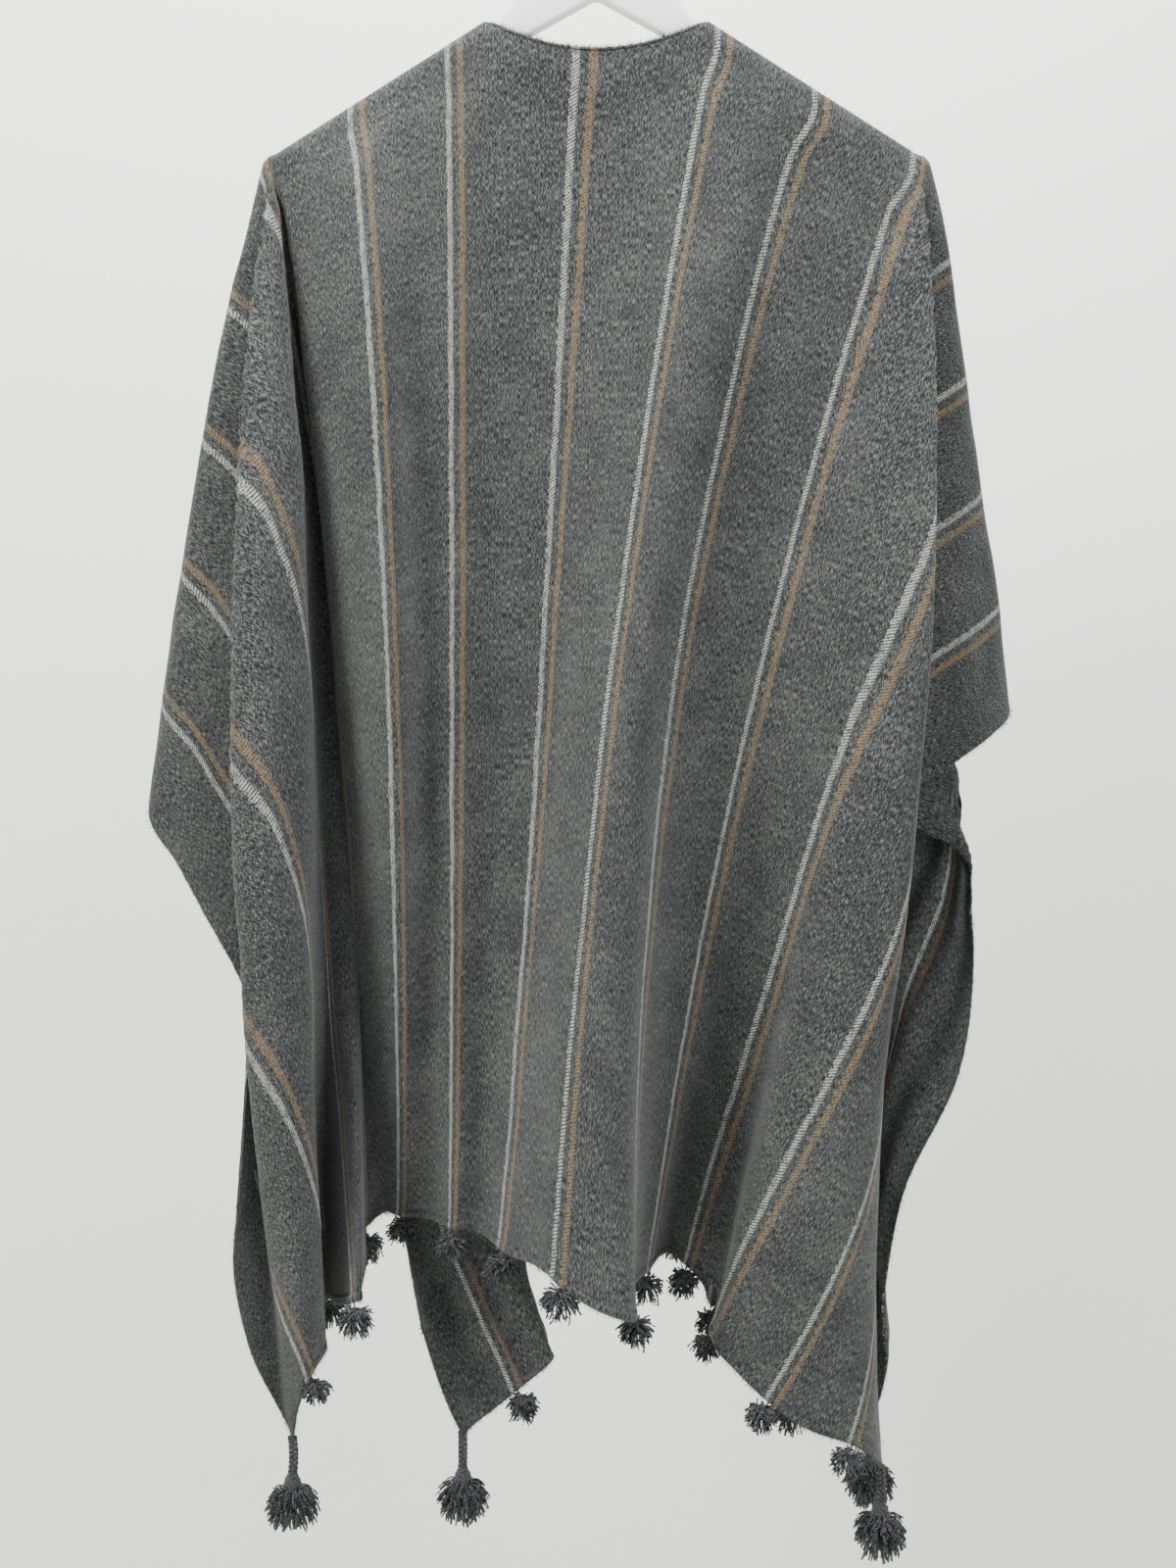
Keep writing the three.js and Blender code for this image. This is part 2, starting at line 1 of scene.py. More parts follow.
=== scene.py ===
"""Dresses a striped wool wrap cape on its hanger: cloth, nap, pompoms, tassels, hanger and studio.

Sizes are in millimetres until a mesh is made, and metres from there on. +Z is up, +Y goes from the
cape's back panel to its open fronts, and the origin is where the hook hangs on its rail.
"""

from __future__ import annotations

import logging
import math
from dataclasses import dataclass
from enum import Enum
from typing import Any, Callable, NamedTuple, Sequence

import bmesh
import bpy
import numpy as np
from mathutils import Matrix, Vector

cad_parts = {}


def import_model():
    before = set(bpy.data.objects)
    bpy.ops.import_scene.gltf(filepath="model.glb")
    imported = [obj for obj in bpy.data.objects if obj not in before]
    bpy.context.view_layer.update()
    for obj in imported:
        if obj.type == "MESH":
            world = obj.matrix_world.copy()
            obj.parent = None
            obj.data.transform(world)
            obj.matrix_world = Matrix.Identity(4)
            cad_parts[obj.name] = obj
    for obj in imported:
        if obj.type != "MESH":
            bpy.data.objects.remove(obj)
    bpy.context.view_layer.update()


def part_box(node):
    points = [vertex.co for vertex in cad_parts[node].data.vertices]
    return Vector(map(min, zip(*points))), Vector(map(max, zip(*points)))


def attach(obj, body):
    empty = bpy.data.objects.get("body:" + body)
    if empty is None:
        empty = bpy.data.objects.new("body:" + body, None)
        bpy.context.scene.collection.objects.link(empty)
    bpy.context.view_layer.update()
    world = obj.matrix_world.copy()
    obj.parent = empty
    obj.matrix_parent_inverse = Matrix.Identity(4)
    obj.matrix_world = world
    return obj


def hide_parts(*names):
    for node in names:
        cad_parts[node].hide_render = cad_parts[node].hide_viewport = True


LOG = logging.getLogger("cape")
MM = 0.001

Triple = tuple[float, float, float]


# ---- Shader maths -----------------------------------------------------------------------------


class Field:
    """A shader socket that takes part in Python arithmetic."""

    def __init__(self, shader: "Shader", socket: bpy.types.NodeSocket) -> None:
        """Wraps one output socket of a shader."""
        self.shader = shader
        self.socket = socket

    def math(self, operation: str, *others: Any) -> "Field":
        """Adds a Math node.

        Args:
            operation: The node's operation.
            others: Further operands, numbers or fields.

        Returns:
            The node's result.
        """
        inputs = dict(enumerate((self, *others)))
        return self.shader.node("ShaderNodeMath", {"operation": operation}, inputs)

    def __add__(self, other: Any) -> "Field":
        """Sum."""
        return self.math("ADD", other)

    __radd__ = __add__

    def __mul__(self, other: Any) -> "Field":
        """Product."""
        return self.math("MULTIPLY", other)

    __rmul__ = __mul__

    def __sub__(self, other: Any) -> "Field":
        """Difference."""
        return self.math("SUBTRACT", other)

    def __rsub__(self, other: float) -> "Field":
        """Difference from a number."""
        return (self * -1.0) + other

    def __truediv__(self, other: Any) -> "Field":
        """Quotient."""
        return self.math("DIVIDE", other)

    def __abs__(self) -> "Field":
        """Distance from zero."""
        return self.math("ABSOLUTE")

    def clamp(self) -> "Field":
        """The value kept from 0 to 1."""
        return self.shader.node("ShaderNodeClamp", {}, {0: self})

    def smooth(self, low: float, high: float) -> "Field":
        """Smooth step.

        Args:
            low: Value at which the result is 0.
            high: Value at which the result is 1.

        Returns:
            A field from 0 to 1.
        """
        settings = {"interpolation_type": "SMOOTHSTEP"}
        return self.shader.node("ShaderNodeMapRange", settings, {0: self, 1: low, 2: high})


class Shader:
    """The node tree of one material."""

    def __init__(self, name: str) -> None:
        """Makes an empty material with the given name."""
        self.material = bpy.data.materials.new(name)
        self.material.use_nodes = True
        self.tree = self.material.node_tree
        self.tree.nodes.clear()

    def node(
        self,
        kind: str,
        settings: dict[str, Any] | None = None,
        inputs: dict[int | str, Any] | None = None,
        output: int = 0,
    ) -> Field:
        """Adds one node.

        Args:
            kind: The node's type.
            settings: Attributes that are set first; "stops" fills a colour ramp.
            inputs: Numbers, colours or fields for its sockets, by index or name.
            output: Index of the socket to return.

        Returns:
            The chosen output.
        """
        made = self.tree.nodes.new(kind)
        for key, value in (settings or {}).items():
            if key == "stops":
                self._fill_ramp(made.color_ramp, value)
            else:
                setattr(made, key, value)
        for key, value in (inputs or {}).items():
            if isinstance(value, Field):
                self.tree.links.new(value.socket, made.inputs[key])
            else:
                made.inputs[key].default_value = value
        return Field(self, made.outputs[output] if made.outputs else None)

    @staticmethod
    def _fill_ramp(ramp: bpy.types.ColorRamp, stops: Sequence[tuple[float, Sequence[float]]]) -> None:
        """Sets a colour ramp's stops, each a place and a colour."""
        while len(ramp.elements) < len(stops):
            ramp.elements.new(1.0)
        for element, (place, colour) in zip(ramp.elements, stops):
            element.position = place
            element.color = (*colour, 1.0)

    def noise(self, vector: Field, scale: float, detail: float, rough: float = 0.5) -> Field:
        """Noise from 0 to 1.

        Args:
            vector: Where it is sampled.
            scale: Its scale.
            detail: Its octaves.
            rough: How strong the finer octaves are.

        Returns:
            The noise value.
        """
        inputs = {"Vector": vector, "Scale": scale, "Detail": detail, "Roughness": rough}
        return self.node("ShaderNodeTexNoise", {}, inputs)

    def mix(self, factor: Field, first: Any, second: Triple) -> Field:
        """Mixes two colours.

        Args:
            factor: Share of the second.
            first: First colour, with its alpha, or a field.
            second: Second colour.

        Returns:
            The mixed colour.
        """
        return self.node("ShaderNodeMix", {"data_type": "RGBA"}, {0: factor, 6: first, 7: (*second, 1.0)}, 2)

    def fine(self, vector: Field, scale: Triple, detail: float = 1.0, rough: float = 0.5) -> Field:
        """Noise with a scale of its own along each axis."""
        return self.noise(self.stretch(vector, scale), 1.0, detail, rough)

    def join(self, x: Field, y: Field) -> Field:
        """A vector of two fields."""
        return self.node("ShaderNodeCombineXYZ", {}, {0: x, 1: y})

    def stretch(self, vector: Field, scale: Triple) -> Field:
        """The vector multiplied by a scale for each axis."""
        return self.node("ShaderNodeVectorMath", {"operation": "MULTIPLY"}, {0: vector, 1: scale})

    def finish(self, height: Field | None, bump: float, distance: float, **surface: Any) -> None:
        """Adds the Principled shader and the output.

        Args:
            height: Relief that feeds the bump, if any.
            bump: The bump's strength.
            distance: The bump's distance in metres.
            surface: Sockets of the shader, with underscores for blanks.
        """
        inputs: dict[int | str, Any] = {key.replace("_", " "): value for key, value in surface.items()}
        if height is not None:
            settings = {"Height": height, "Strength": bump, "Distance": distance}
            inputs["Normal"] = self.node("ShaderNodeBump", {}, settings)
        shader = self.node("ShaderNodeBsdfPrincipled", {}, inputs)
        self.node("ShaderNodeOutputMaterial", {}, {"Surface": shader})


# ---- Finishes ---------------------------------------------------------------------------------


@dataclass(frozen=True)
class Wool:
    """Brushed woollen twill, charcoal with pairs of a white and a tan stripe.

    Its texture coordinates are the cloth's own, in metres: across and along the warp.
    """

    pitch: float = 0.080
    pair_centre: float = -0.0065
    stripe_offset: float = 0.0050
    white_half: float = 0.0022
    tan_half: float = 0.0024
    wander: float = 0.0024
    ragged: float = 0.0050
    tick: float = 0.0025
    tick_slope: float = 0.75
    tick_jitter: float = 0.0020
    hair_lean: float = 0.24
    hair_scale: Triple = (1600.0, 260.0, 1.0)
    lock_scale: Triple = (360.0, 110.0, 1.0)
    cloud_scale: float = 30.0
    broad_scale: float = 6.5
    relief_depth: float = 0.0013
    dark: Triple = (0.0130, 0.0148, 0.0154)
    middle: Triple = (0.0385, 0.0422, 0.0418)
    light: Triple = (0.132, 0.137, 0.131)
    white: Triple = (0.48, 0.48, 0.43)
    tan: Triple = (0.235, 0.158, 0.084)

    def material(self) -> bpy.types.Material:
        """Builds the material.

        Returns:
            The finished material.
        """
        sh = Shader("wool")
        place = sh.node("ShaderNodeUVMap", {"uv_map": "cloth"})
        across = sh.node("ShaderNodeSeparateXYZ", {}, {0: place})
        along = sh.node("ShaderNodeSeparateXYZ", {}, {0: place}, 1)
        leans = [sh.join(across + (along * sign) * self.hair_lean, along) for sign in (-1.0, 1.0)]
        first, second = [sh.fine(way, self.hair_scale, 1.0, 0.6) for way in leans]
        hair = (first + second) * 0.5
        lock = sh.fine(place, self.lock_scale)
        cloud = sh.noise(place, self.cloud_scale, 2.0, 0.55)
        broad = sh.noise(place, self.broad_scale, 1.0)
        tone = hair * 1.20 + lock * 0.12 + cloud * 0.12 + broad * 0.08 - 0.262
        stops = [(0.40, self.dark), (0.5, self.middle), (0.635, self.light)]
        ground = sh.node("ShaderNodeValToRGB", {"stops": stops}, {0: tone})
        wander = (sh.fine(place, (9.0, 30.0, 1.0), 2.0) - 0.5) * self.wander
        pairs_left = 40.5  # more than lie left of the middle, and a half that centres each pair
        repeat = (across + wander - self.pair_centre + self.pitch * pairs_left) / self.pitch
        inside = (repeat.math("FRACT") - 0.5) * self.pitch
        ragged = (first - 0.5) * self.ragged
        white = self._band(inside + self.stripe_offset + ragged, self.white_half)
        tan = self._band(inside - self.stripe_offset + ragged, self.tan_half)
        jitter = (second - 0.5) * self.tick_jitter
        slant = along + across * self.tick_slope + jitter
        ticks = (slant * (2 * math.pi / self.tick)).math("SINE")
        shown = 1.0 - (lock - 0.5).smooth(-0.06, 0.2) * 0.65
        white = white * shown * (ticks.smooth(-0.5, 0.9) * 0.80 + 0.10 + (first - 0.5) * 0.7)
        tan = tan * shown * (ticks.smooth(-0.6, 0.9) * 0.60 + 0.20 + (first - 0.5) * 0.9)
        colour = sh.mix(tan.clamp(), sh.mix(white.clamp(), ground, self.white), self.tan)
        relief = hair * 0.9 + lock * 0.5 + (white + tan) * ticks * 0.25
        sh.finish(
            relief,
            0.6,
            self.relief_depth,
            Base_Color=colour,
            Roughness=0.92,
            Specular_IOR_Level=0.12,
            Sheen_Weight=0.20,
            Sheen_Roughness=0.5,
            Sheen_Tint=(0.60, 0.62, 0.61, 1.0),
        )
        return sh.material

    @staticmethod
    def _band(distance: Field, half: float) -> Field:
        """A soft band round zero, 1 inside `half` and 0 beyond it."""
        return 1.0 - abs(distance).smooth(half * 0.72, half * 1.2)


@dataclass(frozen=True)
class Yarn:
    """Plied wool yarn with lighter fibres. Texture coordinates: a place for each strand, and its length."""

    dark: Triple = (0.016, 0.018, 0.019)
    light: Triple = (0.120, 0.128, 0.130)
    ply: float = 0.0016
    fibre_scale: Triple = (260.0, 1500.0, 1.0)
    strand_scale: Triple = (900.0, 4.0, 1.0)
    relief_depth: float = 0.0004

    def material(self) -> bpy.types.Material:
        """Builds the material.

        Returns:
            The finished material.
        """
        sh = Shader("yarn")
        place = sh.node("ShaderNodeUVMap", {"uv_map": "cloth"})
        along = sh.node("ShaderNodeSeparateXYZ", {}, {0: place}, 1)
        fibre = sh.fine(place, self.fibre_scale, 3.0, 0.6)
        strand = sh.fine(place, self.strand_scale)
        ply_shade_and_relief = (along * (2 * math.pi / self.ply)).math("SINE")
        # The tone follows the ply twist: painted shade makes the grooves between plies a little darker and
        # their crests a little lighter, in step with the ply bump.
        tone = fibre * 0.75 + strand * 0.35 + ply_shade_and_relief * 0.07 - 0.06
        stops = [(0.34, self.dark), (0.72, self.light)]
        colour = sh.node("ShaderNodeValToRGB", {"stops": stops}, {0: tone})
        sh.finish(
            fibre + ply_shade_and_relief * 0.35,
            0.5,
            self.relief_depth,
            Base_Color=colour,
            Roughness=0.9,
            Specular_IOR_Level=0.15,
            Sheen_Weight=0.35,
            Sheen_Roughness=0.4,
            Sheen_Tint=(0.62, 0.64, 0.66, 1.0),
        )
        return sh.material


@dataclass(frozen=True)
class Plastic:
    """Smooth white moulded plastic."""

    colour: Triple = (0.93, 0.935, 0.935)
    shaded: Triple = (0.86, 0.87, 0.87)

    def material(self) -> bpy.types.Material:
        """Builds the material.

        Returns:
            The finished material.
        """
        sh = Shader("hanger_plastic")
        place = sh.node("ShaderNodeTexCoord", {}, {}, 3)
        mottle = sh.noise(place, 60.0, 3.0)
        grain = sh.noise(place, 1400.0, 2.0)
        shade = sh.mix(mottle * 0.10, (*self.colour, 1.0), self.shaded)
        sh.finish(
            grain * 0.6 + mottle * 0.4,
            0.08,
            0.0003,
            Base_Color=shade,
            Roughness=mottle * 0.14 + 0.27,
            Specular_IOR_Level=0.5,
        )
        return sh.material


@dataclass(frozen=True)
class Steel:
    """Bright drawn wire, with fine lines along it."""

    colour: Triple = (0.62, 0.63, 0.64)
    dull: Triple = (0.46, 0.47, 0.48)
    line_scale: Triple = (900.0, 5200.0, 900.0)

    def material(self) -> bpy.types.Material:
        """Builds the material.

        Returns:
            The finished material.
        """
        sh = Shader("hook_steel")
        place = sh.node("ShaderNodeTexCoord", {}, {}, 3)
        lines = sh.fine(place, self.line_scale, 2.0)
        worn = sh.noise(place, 220.0, 3.0)
        shade = sh.mix(worn * 0.5, (*self.colour, 1.0), self.dull)
        sh.finish(lines, 0.12, 0.0001, Base_Color=shade, Metallic=1.0, Roughness=worn * 0.2 + 0.2)
        return sh.material


@dataclass(frozen=True)
class Paint:
    """Matt paint of the wall and the floor."""

    name: str
    colour: Triple
    one_sided: bool = False

    def material(self) -> bpy.types.Material:
        """Builds the material; a one-sided one lets light through from behind.

        Returns:
            The finished material.
        """
        sh = Shader(self.name)
        place = sh.node("ShaderNodeTexCoord", {}, {}, 3)
        roller = sh.noise(place, 90.0, 3.0)
        inputs = {"Base Color": (*self.colour, 1.0), "Roughness": 0.9, "Specular IOR Level": 0.2}
        inputs["Normal"] = sh.node(
            "ShaderNodeBump", {}, {"Height": roller, "Strength": 0.05, "Distance": 0.001}
        )
        paint = sh.node("ShaderNodeBsdfPrincipled", {}, inputs)
        if self.one_sided:
            behind = sh.node("ShaderNodeNewGeometry", {}, {}, 6)
            clear = sh.node("ShaderNodeBsdfTransparent")
            paint = sh.node("ShaderNodeMixShader", {}, {0: behind, 1: paint, 2: clear})
        sh.node("ShaderNodeOutputMaterial", {}, {"Surface": paint})
        return sh.material


# ---- Meshes -----------------------------------------------------------------------------------


def make_object(
    name: str,
    points: np.ndarray,
    faces: np.ndarray,
    places: np.ndarray,
    material: bpy.types.Material,
    sharp: float = 60.0,
) -> bpy.types.Object:
    """Makes a mesh object.

    Args:
        name: The object's name.
        points: Vertices in millimetres, one row each.
        faces: Vertex numbers, one row for each face, all faces alike.
        places: Texture coordinates in metres, one row for each vertex.
        material: Its finish.
        sharp: Edges that turn by more degrees than this stay crisp.

    Returns:
        The object, linked to the scene.
    """
    mesh = bpy.data.meshes.new(name)
    count, corners = faces.shape
    mesh.vertices.add(len(points))
    mesh.vertices.foreach_set("co", (points * MM).astype(np.float32).ravel())
    mesh.loops.add(count * corners)
    mesh.loops.foreach_set("vertex_index", faces.astype(np.int32).ravel())
    mesh.polygons.add(count)
    mesh.polygons.foreach_set("loop_start", np.arange(count, dtype=np.int32) * corners)
    mesh.polygons.foreach_set("use_smooth", np.ones(count, dtype=bool))
    layer = mesh.uv_layers.new(name="cloth")
    layer.data.foreach_set("uv", places[faces.ravel()].astype(np.float32).ravel())
    mesh.update(calc_edges=True)
    mesh.set_sharp_from_angle(angle=math.radians(sharp))
    mesh.materials.append(material)
    made = bpy.data.objects.new(name, mesh)
    bpy.context.scene.collection.objects.link(made)
    return made


def unit(vectors: np.ndarray) -> np.ndarray:
    """The vectors along the last axis, each of length 1."""
    return vectors / np.maximum(np.linalg.norm(vectors, axis=-1, keepdims=True), 1e-9)


def smooth_step(value: np.ndarray, low: float, high: float) -> np.ndarray:
    """Rises smoothly from 0 at `low` to 1 at `high`."""
    t = np.clip((value - low) / (high - low), 0.0, 1.0)
    return t * t * (3.0 - 2.0 * t)


def value_noise(x: np.ndarray, y: np.ndarray, seed: int) -> np.ndarray:
    """Smooth noise on a unit lattice.

    Args:
        x: First coordinate.
        y: Second coordinate.
        seed: Which noise.

    Returns:
        Values from -1 to 1.
    """
    lattice = np.random.default_rng(seed).uniform(-1.0, 1.0, (64, 64))
    column, row = np.floor(x).astype(int), np.floor(y).astype(int)
    s, t = smooth_step(x - column, 0.0, 1.0), smooth_step(y - row, 0.0, 1.0)
    corner = [[lattice[(column + i) % 64, (row + j) % 64] for j in (0, 1)] for i in (0, 1)]
    low = corner[0][0] * (1 - s) + corner[1][0] * s
    high = corner[0][1] * (1 - s) + corner[1][1] * s
    return low * (1 - t) + high * t


class Tubes:
    """Many strands of yarn of equal segment count, joined as one mesh."""

    def __init__(self) -> None:
        """Starts with no strand."""
        self.points: list[np.ndarray] = []
        self.faces: list[np.ndarray] = []
        self.places: list[np.ndarray] = []
        self.count = 0

    def add(
        self, paths: np.ndarray, radius: np.ndarray, sides: int = 4, flat: float = 1.0, twist: float = 0.0
    ) -> None:
        """Adds closed tubes along paths.

        Args:
            paths: Array of strands, points and coordinates, in millimetres.
            radius: Radius at each point, for each strand.
            sides: Sides of the section.
            flat: Thickness of the section over its width.
            twist: Turns of the section for each millimetre of strand.
        """
        strands, length, _ = paths.shape
        along = unit(np.gradient(paths, axis=1))
        guide = np.where(np.abs(along[..., 2:3]) < 0.8, (0.0, 0.0, 1.0), (1.0, 0.0, 0.0))
        across = unit(np.cross(along, guide[:, :1].repeat(length, axis=1)))
        other = np.cross(along, across)
        steps = np.linalg.norm(np.diff(paths, axis=1), axis=2)
        run = np.concatenate([np.zeros((strands, 1)), np.cumsum(steps, axis=1)], axis=1)
        turn = 2 * math.pi * (np.arange(sides) + 0.5) / sides
        spin = 2 * math.pi * twist * run[..., None]
        wide, thin = np.cos(turn) * radius[..., None], np.sin(turn) * radius[..., None] * flat
        a = wide * np.cos(spin) - thin * np.sin(spin)
        b = wide * np.sin(spin) + thin * np.cos(spin)
        ring = paths[:, :, None] + a[..., None] * across[:, :, None] + b[..., None] * other[:, :, None]
        number = self.count + np.arange(strands * length * sides).reshape(strands, length, sides)
        after = np.roll(number, -1, axis=2)
        walls = np.stack([number[:, :-1], after[:, :-1], after[:, 1:], number[:, 1:]], axis=-1)
        self.faces.append(walls.reshape(-1, 4))
        if sides == 4:
            self.faces.append(number[:, 0, ::-1].reshape(-1, 4))
            self.faces.append(number[:, -1].reshape(-1, 4))
        self.points.append(ring.reshape(-1, 3))
        strand = (np.arange(strands) * 0.0137 % 1.0)[:, None, None] + turn * 0.0006
        place = np.stack(np.broadcast_arrays(strand, run[..., None] * MM), axis=-1)
        self.places.append(place.reshape(-1, 2))
        self.count += strands * length * sides

    def build(self, name: str, material: bpy.types.Material) -> bpy.types.Object:
        """Makes the object of all the strands."""
        points, places = np.concatenate(self.points), np.concatenate(self.places)
        return make_object(name, points, np.concatenate(self.faces), places, material, 180.0)


# ---- How the cloth hangs ----------------------------------------------------------------------


class Ruling(NamedTuple):
    """One fall of the cloth at the top or bottom of a fold, in millimetres.

    `at` is a stripe number on a hem and a distance below the shoulder fold on a selvedge. The fall
    passes (mid_x, mid_y) halfway down and ends at (end_x, end_y). `gather` is the length that
    small creases take up.
    """

    at: float
    mid_x: float
    mid_y: float
    end_x: float
    end_y: float
    gather: float


def rulings(*table: tuple[float, ...]) -> list[Ruling]:
    """The rows of a table as rulings."""
    return [Ruling(*row) for row in table]


BACK_HEM = rulings(
    (-3.9, -238, -5, -214, 50, 44),
    (-3.4, -242, -28, -207, 38, 58),
    (-3.0, -221, -32, -197, 20, 72),
    (-2.5, -206, -22, -190, 45, 70),
    (-2.0, -197, -8, -208, 62, 62),
    (-1.5, -196, 12, -214, 92, 56),
    (-1.0, -199, 34, -199, 108, 52),
    (-0.5, -199, 52, -184, 66, 56),
    (0.0, -193, 63, -169, 20, 67),
    (0.3, -187, 65, -164, 12, 70),
    (0.6, -184, 58, -166, 42, 80),
    (1.0, -184, 42, -170, 85, 92),
    (1.5, -165, 5, -158, 98, 88),
    (2.0, -139, -22, -144, 92, 66),
    (2.5, -121, 4, -122, 74, 48),
    (3.0, -97, 4, -103, 46, 28),
    (3.5, -66, 22, -84, 40, 12),
    (4.0, -34, 20, -64, 5, 4),
    (4.5, -8, 2, -45, -28, 2),
    (5.0, 17, -20, -26, -48, 0),
    (5.4, 32, -28, 1, -52, 0),
    (5.75, 44, -18, 24, -36, 4),
    (6.0, 56, 4, 25, -8, 12),
    (6.5, 84, 25, 26, 38, 30),
    (7.0, 111, 30, 38, 74, 46),
    (7.5, 128, 28, 52, 106, 52),
    (8.0, 142, 20, 66, 98, 50),
    (8.5, 157, 10, 88, 80, 46),
    (9.0, 172, -2, 80, 38, 38),
    (9.5, 192, -18, 97, 18, 28),
    (10.0, 210, -30, 118, 12, 22),
    (10.5, 214, -22, 144, 5, 20),
    (11.0, 206, -4, 175, 12, 22),
    (11.5, 198, 8, 192, 24, 22),
    (11.9, 191, 16, 199, 46, 20),
)
RIGHT_SELVEDGE = rulings(
    (700, 180, 28, 142, 60, 15),
    (550, 154, 34, 86, 72, 10),
    (450, 143, 38, 60, 78, 10),
    (330, 188, 36, 150, 70, 15),
    (262, 222, 30, 219, 62, 20),
    (200, 243, 31, 260, 60, 14),
    (150, 253, 33, 280, 66, 5),
    (105, 259, 37, 293, 74, 0),
    (50, 259, 46, 289, 84, 0),
    (0, 250, 57, 266, 92, 5),
    (-60, 224, 62, 215, 90, 10),
    (-120, 197, 64, 168, 92, 10),
    (-180, 180, 70, 135, 98, 10),
    (-230, 184, 80, 142, 106, 10),
    (-285, 205, 89, 200, 113, 10),
    (-344, 234, 96, 268, 117, 12),
    (-410, 244, 102, 280, 117, 12),
    (-478, 248, 106, 281, 114, 12),
    (-568, 248, 114, 268, 110, 12),
    (-663, 240, 122, 228, 108, 12),
    (-760, 228, 128, 212, 108, 15),
)
RIGHT_FRONT_HEM = rulings(
    (11.9, 212, 132, 204, 110, 20),
    (11.5, 203, 136, 180, 104, 15),
    (11.0, 194, 140, 147, 110, 5),
    (10.0, 183, 164, 132, 160, 5),
    (9.0, 172, 138, 116, 104, 10),
    (8.0, 162, 164, 103, 160, 12),
    (7.0, 150, 138, 87, 104, 15),
    (6.0, 108, 120, 64, 154, 15),
    (5.0, 60, 88, 36, 104, 15),
    (4.08, 26, 86, 10, 128, 15),
)
LEFT_SELVEDGE = rulings(
    (770, -232, 6, -241, 28, 30),
    (680, -226, 8, -248, 12, 25),
    (600, -222, 14, -234, 22, 20),
    (520, -220, 18, -224, 30, 15),
    (433, -228, 14, -244, 16, 15),
    (365, -243, 12, -271, 18, 15),
    (320, -255, 12, -288, 20, 15),
    (283, -270, 14, -306, 26, 15),
    (240, -272, 24, -306, 40, 15),
    (180, -260, 32, -278, 52, 15),
    (110, -238, 38, -225, 60, 10),
    (40, -212, 42, -172, 68, 10),
    (-20, -196, 46, -148, 74, 10),
    (-80, -198, 50, -155, 82, 10),
    (-150, -218, 52, -200, 88, 10),
    (-220, -238, 54, -245, 90, 10),
    (-280, -246, 58, -262, 92, 10),
    (-340, -238, 66, -246, 98, 10),
    (-420, -222, 80, -210, 108, 10),
    (-520, -202, 94, -172, 112, 10),
    (-620, -186, 104, -150, 114, 12),
    (-700, -176, 110, -138, 98, 14),
    (-780, -168, 111, -124, 82, 16),
)
LEFT_FRONT_HEM = rulings(
    (-3.9, -160, 112, -94, 66, 26),
    (-3.0, -142, 116, -55, 72, 22),
    (-2.45, -132, 120, -33, 82, 20),
    (-2.0, -146, 129, -56, 98, 20),
    (-1.4, -168, 129, -102, 112, 15),
    (-1.0, -173, 146, -121, 148, 15),
    (0.0, -160, 136, -99, 136, 15),
    (1.0, -140, 168, -90, 182, 10),
    (2.0, -118, 122, -74, 130, 15),
    (3.0, -82, 150, -54, 178, 10),
    (4.08, -36, 98, -26, 126, 15),
)


class Crease(NamedTuple):
    """A soft ridge or trough, from one place of the cloth to another, in millimetres."""

    from_u: float
    from_v: float
    to_u: float
    to_v: float
    width: float
    height: float


CREASES = [
    Crease(-330, 120, -250, 560, 22, -2.4),
    Crease(-286, 250, -230, 700, 17, 1.8),
    Crease(-205, 420, -178, 840, 20, -2.2),
    Crease(-150, 90, -120, 430, 26, 1.6),
    Crease(-110, 520, -92, 850, 18, 1.9),
    Crease(-66, 60, -60, 380, 24, -1.5),
    Crease(-28, 330, -40, 760, 20, 1.7),
    Crease(24, 70, 10, 410, 22, 1.4),
    Crease(52, 430, 70, 820, 18, -1.9),
    Crease(100, 60, 128, 420, 24, -1.7),
    Crease(150, 260, 190, 690, 22, 1.8),
    Crease(205, 110, 262, 520, 20, -1.9),
    Crease(240, 480, 330, 850, 22, 1.9),
    Crease(300, 240, 420, 640, 20, -1.8),
    Crease(380, 520, 470, 840, 18, 1.6),
    Crease(430, 160, 590, 300, 18, 1.7),
    Crease(-400, 200, -560, 420, 18, 1.8),
    Crease(-420, 470, -520, 820, 20, -1.9),
    Crease(-460, 100, -610, 190, 16, -1.6),
    Crease(-520, 300, -470, 720, 14, 1.5),
    Crease(480, 60, 600, 100, 16, -1.5),
    Crease(-300, -140, -230, -600, 22, 1.9),
    Crease(-180, -80, -160, -520, 24, -1.8),
    Crease(-120, -420, -100, -840, 20, 1.9),
    Crease(-60, -240, -52, -660, 18, 1.5),
    Crease(-360, -330, -430, -760, 20, -1.8),
    Crease(-480, -120, -580, -420, 18, 1.7),
    Crease(70, -200, 60, -640, 20, 1.7),
    Crease(130, -90, 160, -500, 24, -1.9),
    Crease(200, -360, 230, -820, 20, 1.8),
    Crease(300, -140, 380, -560, 22, -1.8),
    Crease(420, -260, 520, -740, 20, 1.8),
    Crease(500, -60, 590, -280, 16, -1.5),
]


class Panel(Enum):
    """The stretches of the wrap: the whole back and the two fronts."""

    BACK = "back_panel"
    LEFT = "front_panel_left"
    RIGHT = "front_panel_right"


